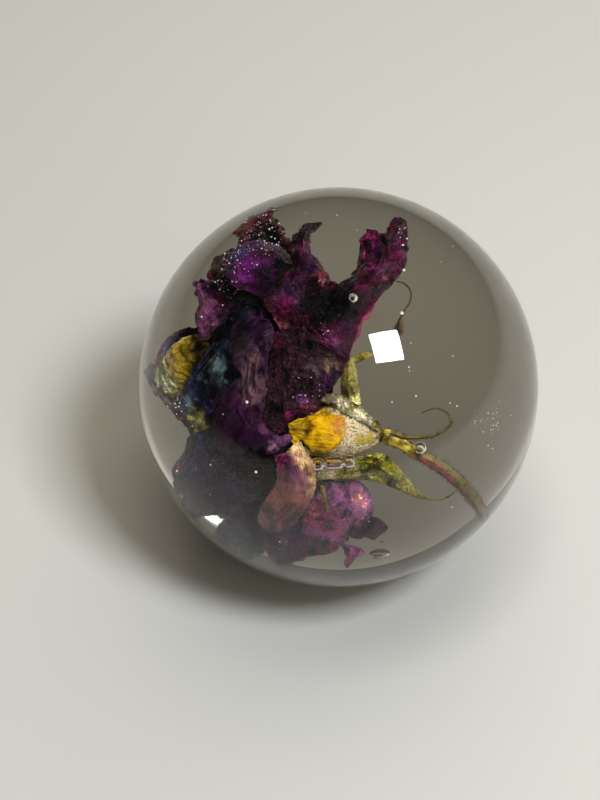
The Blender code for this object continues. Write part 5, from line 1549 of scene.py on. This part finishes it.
# The kind of hair, where along the piece it ends (9: nowhere), how steeply, its least share, colour and seed
hairs = {
    "receptacle": ("bulb", 0.75, 8, 0, "hairCream", 21),
    "stem": ("stem", 9, 1, 0, "hairBrown", 22),
    "sepal_tendril": ("stem", 0.8, 4, 0, "hairBrown", 26),
    "sepal_upper": ("sepals", 9, 1, 0, "hairCream", 23),
    "sepal_back": ("sepals", 9, 1, 0, "paleLeaf", 24),
    "sepal_lower": ("sepals", 0.5, 4, 0.1, "paleLeaf", 25),
}
specks = dict(  # tiny bubbles in the clear resin: across, down, depth, radius in mm
    lone=[
        (337, 215, 6, 0.10), (306, 213, 2, 0.06), (357, 230, 4, 0.07), (453, 246, 4, 0.09),
        (441, 262, 2, 0.06), (411, 343, 9, 0.09), (409, 367, 10, 0.12), (409.5, 371, 10, 0.09),
        (416, 396, 9, 0.13), (392, 402, 10, 0.12), (453, 356, 8, 0.10), (450, 403, 6, 0.09),
        (457, 406, 6, 0.10), (452, 507, 4, 0.10), (403, 245, 7, 0.17), (404, 270, 7, 0.20),
        (402, 313, 8, 0.24), (247, 402, 15, 0.22), (256, 472, 12, 0.20), (177, 471, 4, 0.20),
    ],
    cloud=dict(count=34, middle=(492, 428), reach=(17, 30), depth=(-12, 4), radius=(0.03, 0.08), seed=7),
)


def scatterTree(name, share, density, inputs):  # a tree's start: points where a value is high
    inputs = [
        ("Geometry", "Geometry", None), (density, "Float", 1000000.0), *inputs, ("Seed", "Int", 1),
        ("Material", "Material", None),
    ]
    tree, ins, outs = newTree(name, "Geometry", inputs, [("Geometry", "Geometry")])
    value = addNode(tree, "GeometryNodeInputNamedAttribute", {"Name": share}, data_type="FLOAT")
    sockets = {
        "Mesh": ins["Geometry"], "Density": times(tree, value.outputs["Attribute"], ins[density]),
        "Seed": ins["Seed"],
    }
    return tree, ins, outs, addNode(tree, "GeometryNodeDistributePointsOnFaces", sockets).outputs


def chanceIn(tree, ins, low):  # a random share from low to 1
    sockets = {2: low, 3: 1.0, "Seed": ins["Seed"]}
    return addNode(tree, "FunctionNodeRandomValue", sockets, data_type="FLOAT").outputs[1]


def finishTree(tree, ins, outs, shapes):  # a tree's end: a real shape on every point
    standing = addNode(tree, "GeometryNodeInstanceOnPoints", shapes)
    real = addNode(tree, "GeometryNodeRealizeInstances", {0: standing.outputs[0]})
    sockets = {"Geometry": real.outputs[0], "Material": ins["Material"]}
    shaded = addNode(tree, "GeometryNodeSetMaterial", sockets)
    tree.links.new(shaded.outputs[0], outs[0])
    return tree


def beadTree():  # round beads, most of them small
    sizes = [("Smallest", "Float", 0.00003), ("Largest", "Float", 0.0001)]
    tree, ins, outs, spots = scatterTree("scatteredBeads", "sparkle", "Beads per Square Metre", sizes)
    few = addNode(tree, "Math", {0: chanceIn(tree, ins, 0.0), 1: 4.0}, operation="POWER").outputs[0]
    sockets = {"Value": few, "To Min": ins["Smallest"], "To Max": ins["Largest"]}
    size = addNode(tree, "MapRange", sockets).outputs[0]
    bead = addNode(tree, "GeometryNodeMeshIcoSphere", {"Radius": 1.0, "Subdivisions": 2}).outputs[0]
    return finishTree(tree, ins, outs, {"Points": spots["Points"], "Instance": bead, "Scale": size})


def hairTree():  # fine pointed hairs that stand up and lean at random
    sizes = [("Length", "Float", 0.0003), ("Width", "Float", 0.00003), ("Lean", "Float", 0.8)]
    tree, ins, outs, spots = scatterTree("feltHairs", "felt", "Hairs per Square Metre", sizes)
    sockets = {"Vertices": 3, "Radius Top": 0.0, "Radius Bottom": 1.0, "Depth": 1.0}
    cone = addNode(tree, "GeometryNodeMeshCone", sockets).outputs["Mesh"]
    back = times(tree, ins["Lean"], -1.0)
    low = addNode(tree, "CombineXYZ", {0: back, 1: back, 2: -3.0}).outputs[0]
    high = addNode(tree, "CombineXYZ", {0: ins["Lean"], 1: ins["Lean"], 2: 3.0}).outputs[0]
    sockets = {0: low, 1: high, "Seed": ins["Seed"]}
    leaning = addNode(tree, "FunctionNodeRandomValue", sockets, data_type="FLOAT_VECTOR").outputs[0]
    turned = addNode(tree, "FunctionNodeEulerToRotation", {0: leaning}).outputs[0]
    sockets = {0: spots["Rotation"], 1: turned}
    rotation = addNode(tree, "FunctionNodeRotateRotation", sockets, rotation_space="LOCAL").outputs[0]
    tall = times(tree, chanceIn(tree, ins, 0.4), ins["Length"])
    size = addNode(tree, "CombineXYZ", {0: ins["Width"], 1: ins["Width"], 2: tall}).outputs[0]
    shapes = {"Points": spots["Points"], "Instance": cone, "Rotation": rotation, "Scale": size}
    return finishTree(tree, ins, outs, shapes)


def grow(name, ground, tree, settings):  # run a tree on a ground mesh and keep the result as a plain mesh
    modifier = ground.modifiers.new("grow", "NODES")
    modifier.node_group = tree
    sockets = {item.name: item.identifier for item in tree.interface.items_tree if item.in_out == "INPUT"}
    for label, value in settings.items():
        modifier[sockets[label]] = value
    shown = ground.evaluated_get(bpy.context.evaluated_depsgraph_get())
    mesh = bpy.data.meshes.new_from_object(shown)
    mesh.name = name
    obj = inScene(name, mesh)
    ground.modifiers.remove(modifier)
    bpy.data.objects.remove(ground)
    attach(obj, "root")
    print(name, len(mesh.polygons), "faces")


def sparkleGround():  # the fronts of the petals round the places that sparkle
    places, faces, values, count = [], [], [], 0
    for ground in grounds:
        strength = np.zeros(len(ground["seen"]))
        for across, down, radius, share in sparkle["places"]:
            strength = np.maximum(strength, share * within(ground["seen"], across, down, radius))
        near = (strength > sparkle["leastShare"])[ground["faces"]].all(axis=1)
        places.append(ground["places"])
        faces.append(ground["faces"][near] + count)
        values.append(strength)
        count += len(strength)
    obj = inScene("sparkleGround", newMesh("sparkleGround", np.concatenate(places), np.concatenate(faces)))
    putValues(obj, "sparkle", np.concatenate(values))
    return obj


def plainMaterial(name, colour, roughness, paintedGlow):
    sockets = {"Base Color": opaque(colour), "Emission Color": opaque(colour)}
    sockets.update({"Roughness": roughness, "Emission Strength": paintedGlow})
    return newMaterial(name, sockets)[0]


def alongOf(mesh):  # how far along a tube or sheet each of its corners lies
    values = np.zeros(len(mesh.vertices))
    uv = np.empty(len(mesh.loops) * 2, dtype=np.float32)
    mesh.uv_layers[0].data.foreach_get("uv", uv)
    values[cornersOf(mesh)] = uv.reshape(-1, 2)[:, 1]
    return values


# the tiny bubbles are drawn white and glow faintly: painted glints
glintingBeadMaterial = plainMaterial("tinyBubbles", "beadWhite", 0.25, 0.8)
beadSettings = {
    "Beads per Square Metre": sparkle["perSquareMm"] / mm**2, "Smallest": sparkle["smallest"] * mm,
    "Largest": sparkle["largest"] * mm, "Seed": sparkle["seed"], "Material": glintingBeadMaterial,
}
grow("tiny_bubbles_on_petals", sparkleGround(), beadTree(), beadSettings)

feltHairs = hairTree()
for node, (kind, end, steepness, least, colour, seed) in hairs.items():
    mesh = pieces[node].data.copy()
    ground = inScene(node + "Ground", mesh)
    putValues(ground, "felt", np.clip((end - alongOf(mesh)) * steepness, least, 1))
    hairSettings = {
        "Hairs per Square Metre": felt[kind]["perSquareMm"] / mm**2, "Length": felt[kind]["length"] * mm,
        "Width": felt[kind]["width"] * mm, "Lean": felt[kind]["lean"], "Seed": seed,
        "Material": plainMaterial(node + "Hair", colour, 0.6, 0.0),
    }
    grow(node + "_hairs", ground, feltHairs, hairSettings)


def looseSpecks():  # the lone specks and a thin cloud of them
    cloud = specks["cloud"]
    chance = np.random.default_rng(cloud["seed"])
    found = list(specks["lone"])
    for _ in range(cloud["count"]):
        across, down = np.array(cloud["middle"]) + chance.normal(size=2) * 0.5 * np.array(cloud["reach"])
        found.append((across, down, chance.uniform(*cloud["depth"]), chance.uniform(*cloud["radius"])))
    obj = meshObject("loose_specks", *joined(bubbleShell(*speck, 1.0, 2, 1) for speck in found))
    obj.data.materials.append(glintingBeadMaterial)
    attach(obj, "root")
    print("loose specks:", len(found))


looseSpecks()


# Floor, light and camera
studio = dict(
    floorRings=(0.08, 0.2, 0.8, 3.0), floorSides=96, floorColour=(0.43, 0.428, 0.417, 1),
    hollowDepth=0.0065, hollowRadius=0.050, hollowFlat=0.016, hollowRings=24, gap=0.0004,
    warmColour=(1.0, 0.92, 0.74), coolColour=(0.95, 0.98, 1.0), skyStrength=0.04,
    keySeenAt=(385.5, 347.5), keyDistance=0.75, keyWidth=0.205, keyTurn=math.radians(7), keyPower=7.0,
    fillFrom=(0.20, 0.68, 0.92), fillWidth=1.3, fillPower=11.0,
    frontFrom=(0.55, -0.75, 0.75), frontWidth=0.8, frontPower=5.0, sensorWidth=36,
)


def standAt(obj, place, target, turn=0.0):  # at a place, facing a target, turned about its sight
    sight = np.array(target) - np.array(place)
    back = -sight / np.linalg.norm(sight)
    side = np.cross(toTop, back)
    side /= np.linalg.norm(side)
    up = np.cross(back, side)
    turned = (math.cos(turn) * side + math.sin(turn) * up, math.cos(turn) * up - math.sin(turn) * side)
    rows = [(*row, spot) for row, spot in zip(np.stack([*turned, back], axis=1), place)]
    obj.matrix_world = Matrix(rows + [(0, 0, 0, 1)])


def mirroredSight(spot):  # where the ball's surface shows something at this place in the picture
    sight, entry = entryOf(np.array(spot))
    normal = entry / ball["radius"]
    return (sight - 2 * (sight @ normal) * normal) @ pictureAxes


def studioFloor():  # a plain pale floor that gives a little under the ball
    sides, low = studio["floorSides"], studio["gap"]
    hollow = np.linspace(studio["hollowFlat"], studio["hollowRadius"], studio["hollowRings"])
    radii = np.concatenate([hollow, studio["floorRings"]])
    share = np.clip((radii - studio["hollowFlat"]) / (studio["hollowRadius"] - studio["hollowFlat"]), 0, 1)
    heights = studio["hollowDepth"] * share * share * (3 - 2 * share) - low
    turn = np.arange(sides) * 2 * math.pi / sides
    vertices = [(0, 0, -low)]
    for radius, height in zip(radii, heights):
        vertices += [(radius * math.cos(angle), radius * math.sin(angle), height) for angle in turn]
    faces = [(0, 1 + i, 1 + (i + 1) % sides) for i in range(sides)]
    for start in range(1, len(vertices) - sides, sides):
        for i in range(sides):
            after = (i + 1) % sides
            faces.append((start + i, start + sides + i, start + sides + after, start + after))
    mesh = newMesh("studio_floor", vertices, faces)
    mesh.shade_smooth()
    return inScene("studio_floor", mesh)


def softLight(name, place, width, power, colour, turn=0.0):
    data = bpy.data.lights.new(name, "AREA")
    data.color = colour
    data.shape = "SQUARE"
    data.size = width
    data.energy = power
    data.cycles.is_caustics_light = True
    obj = inScene(name, data)
    standAt(obj, place, ballCentre, turn)
    return obj


floor = studioFloor()
floorLook = {"Base Color": studio["floorColour"], "Roughness": 0.9, "Specular IOR Level": 0.1}
floor.data.materials.append(newMaterial("paleFloor", floorLook)[0])

world = bpy.data.worlds.new("softStudio")
bpy.context.scene.world = world
world.use_nodes = True
background = world.node_tree.nodes["Background"].inputs
background["Color"].default_value = (*studio["warmColour"], 1)
background["Strength"].default_value = studio["skyStrength"]

keyPlace = ballCentre + mirroredSight(studio["keySeenAt"]) * studio["keyDistance"]
width, power, turn = (studio["key" + detail] for detail in ("Width", "Power", "Turn"))
softLight("window_light", keyPlace, width, power, studio["coolColour"], turn)
for share in ("fill", "front"):
    place, width, power = (studio[share + detail] for detail in ("From", "Width", "Power"))
    light = softLight(share + "_light", np.array(place), width, power, studio["warmColour"])
    light.visible_glossy = False
    light.visible_transmission = False
resin.cycles.is_caustics_caster = True
for lit in (floor, *pieces.values()):
    lit.cycles.is_caustics_receiver = True

cameraData = bpy.data.cameras.new("camera")
camera = inScene("camera", cameraData)
standAt(camera, ballCentre + toEye * view["eyeDistance"], ballCentre)
cameraData.sensor_fit = "AUTO"
cameraData.sensor_width = studio["sensorWidth"]
cameraData.lens = studio["sensorWidth"] * focal / view["pictureHeight"]
cameraData.shift_x = (view["pictureWidth"] / 2 - view["ballSeenAt"][0]) / view["pictureHeight"]
cameraData.shift_y = (view["ballSeenAt"][1] - view["pictureHeight"] / 2) / view["pictureHeight"]
cameraData.clip_start = 0.01
cameraData.clip_end = 20
bpy.context.scene.camera = camera
bpy.context.scene.view_settings.view_transform = "Standard"
print("floor, light and camera done")
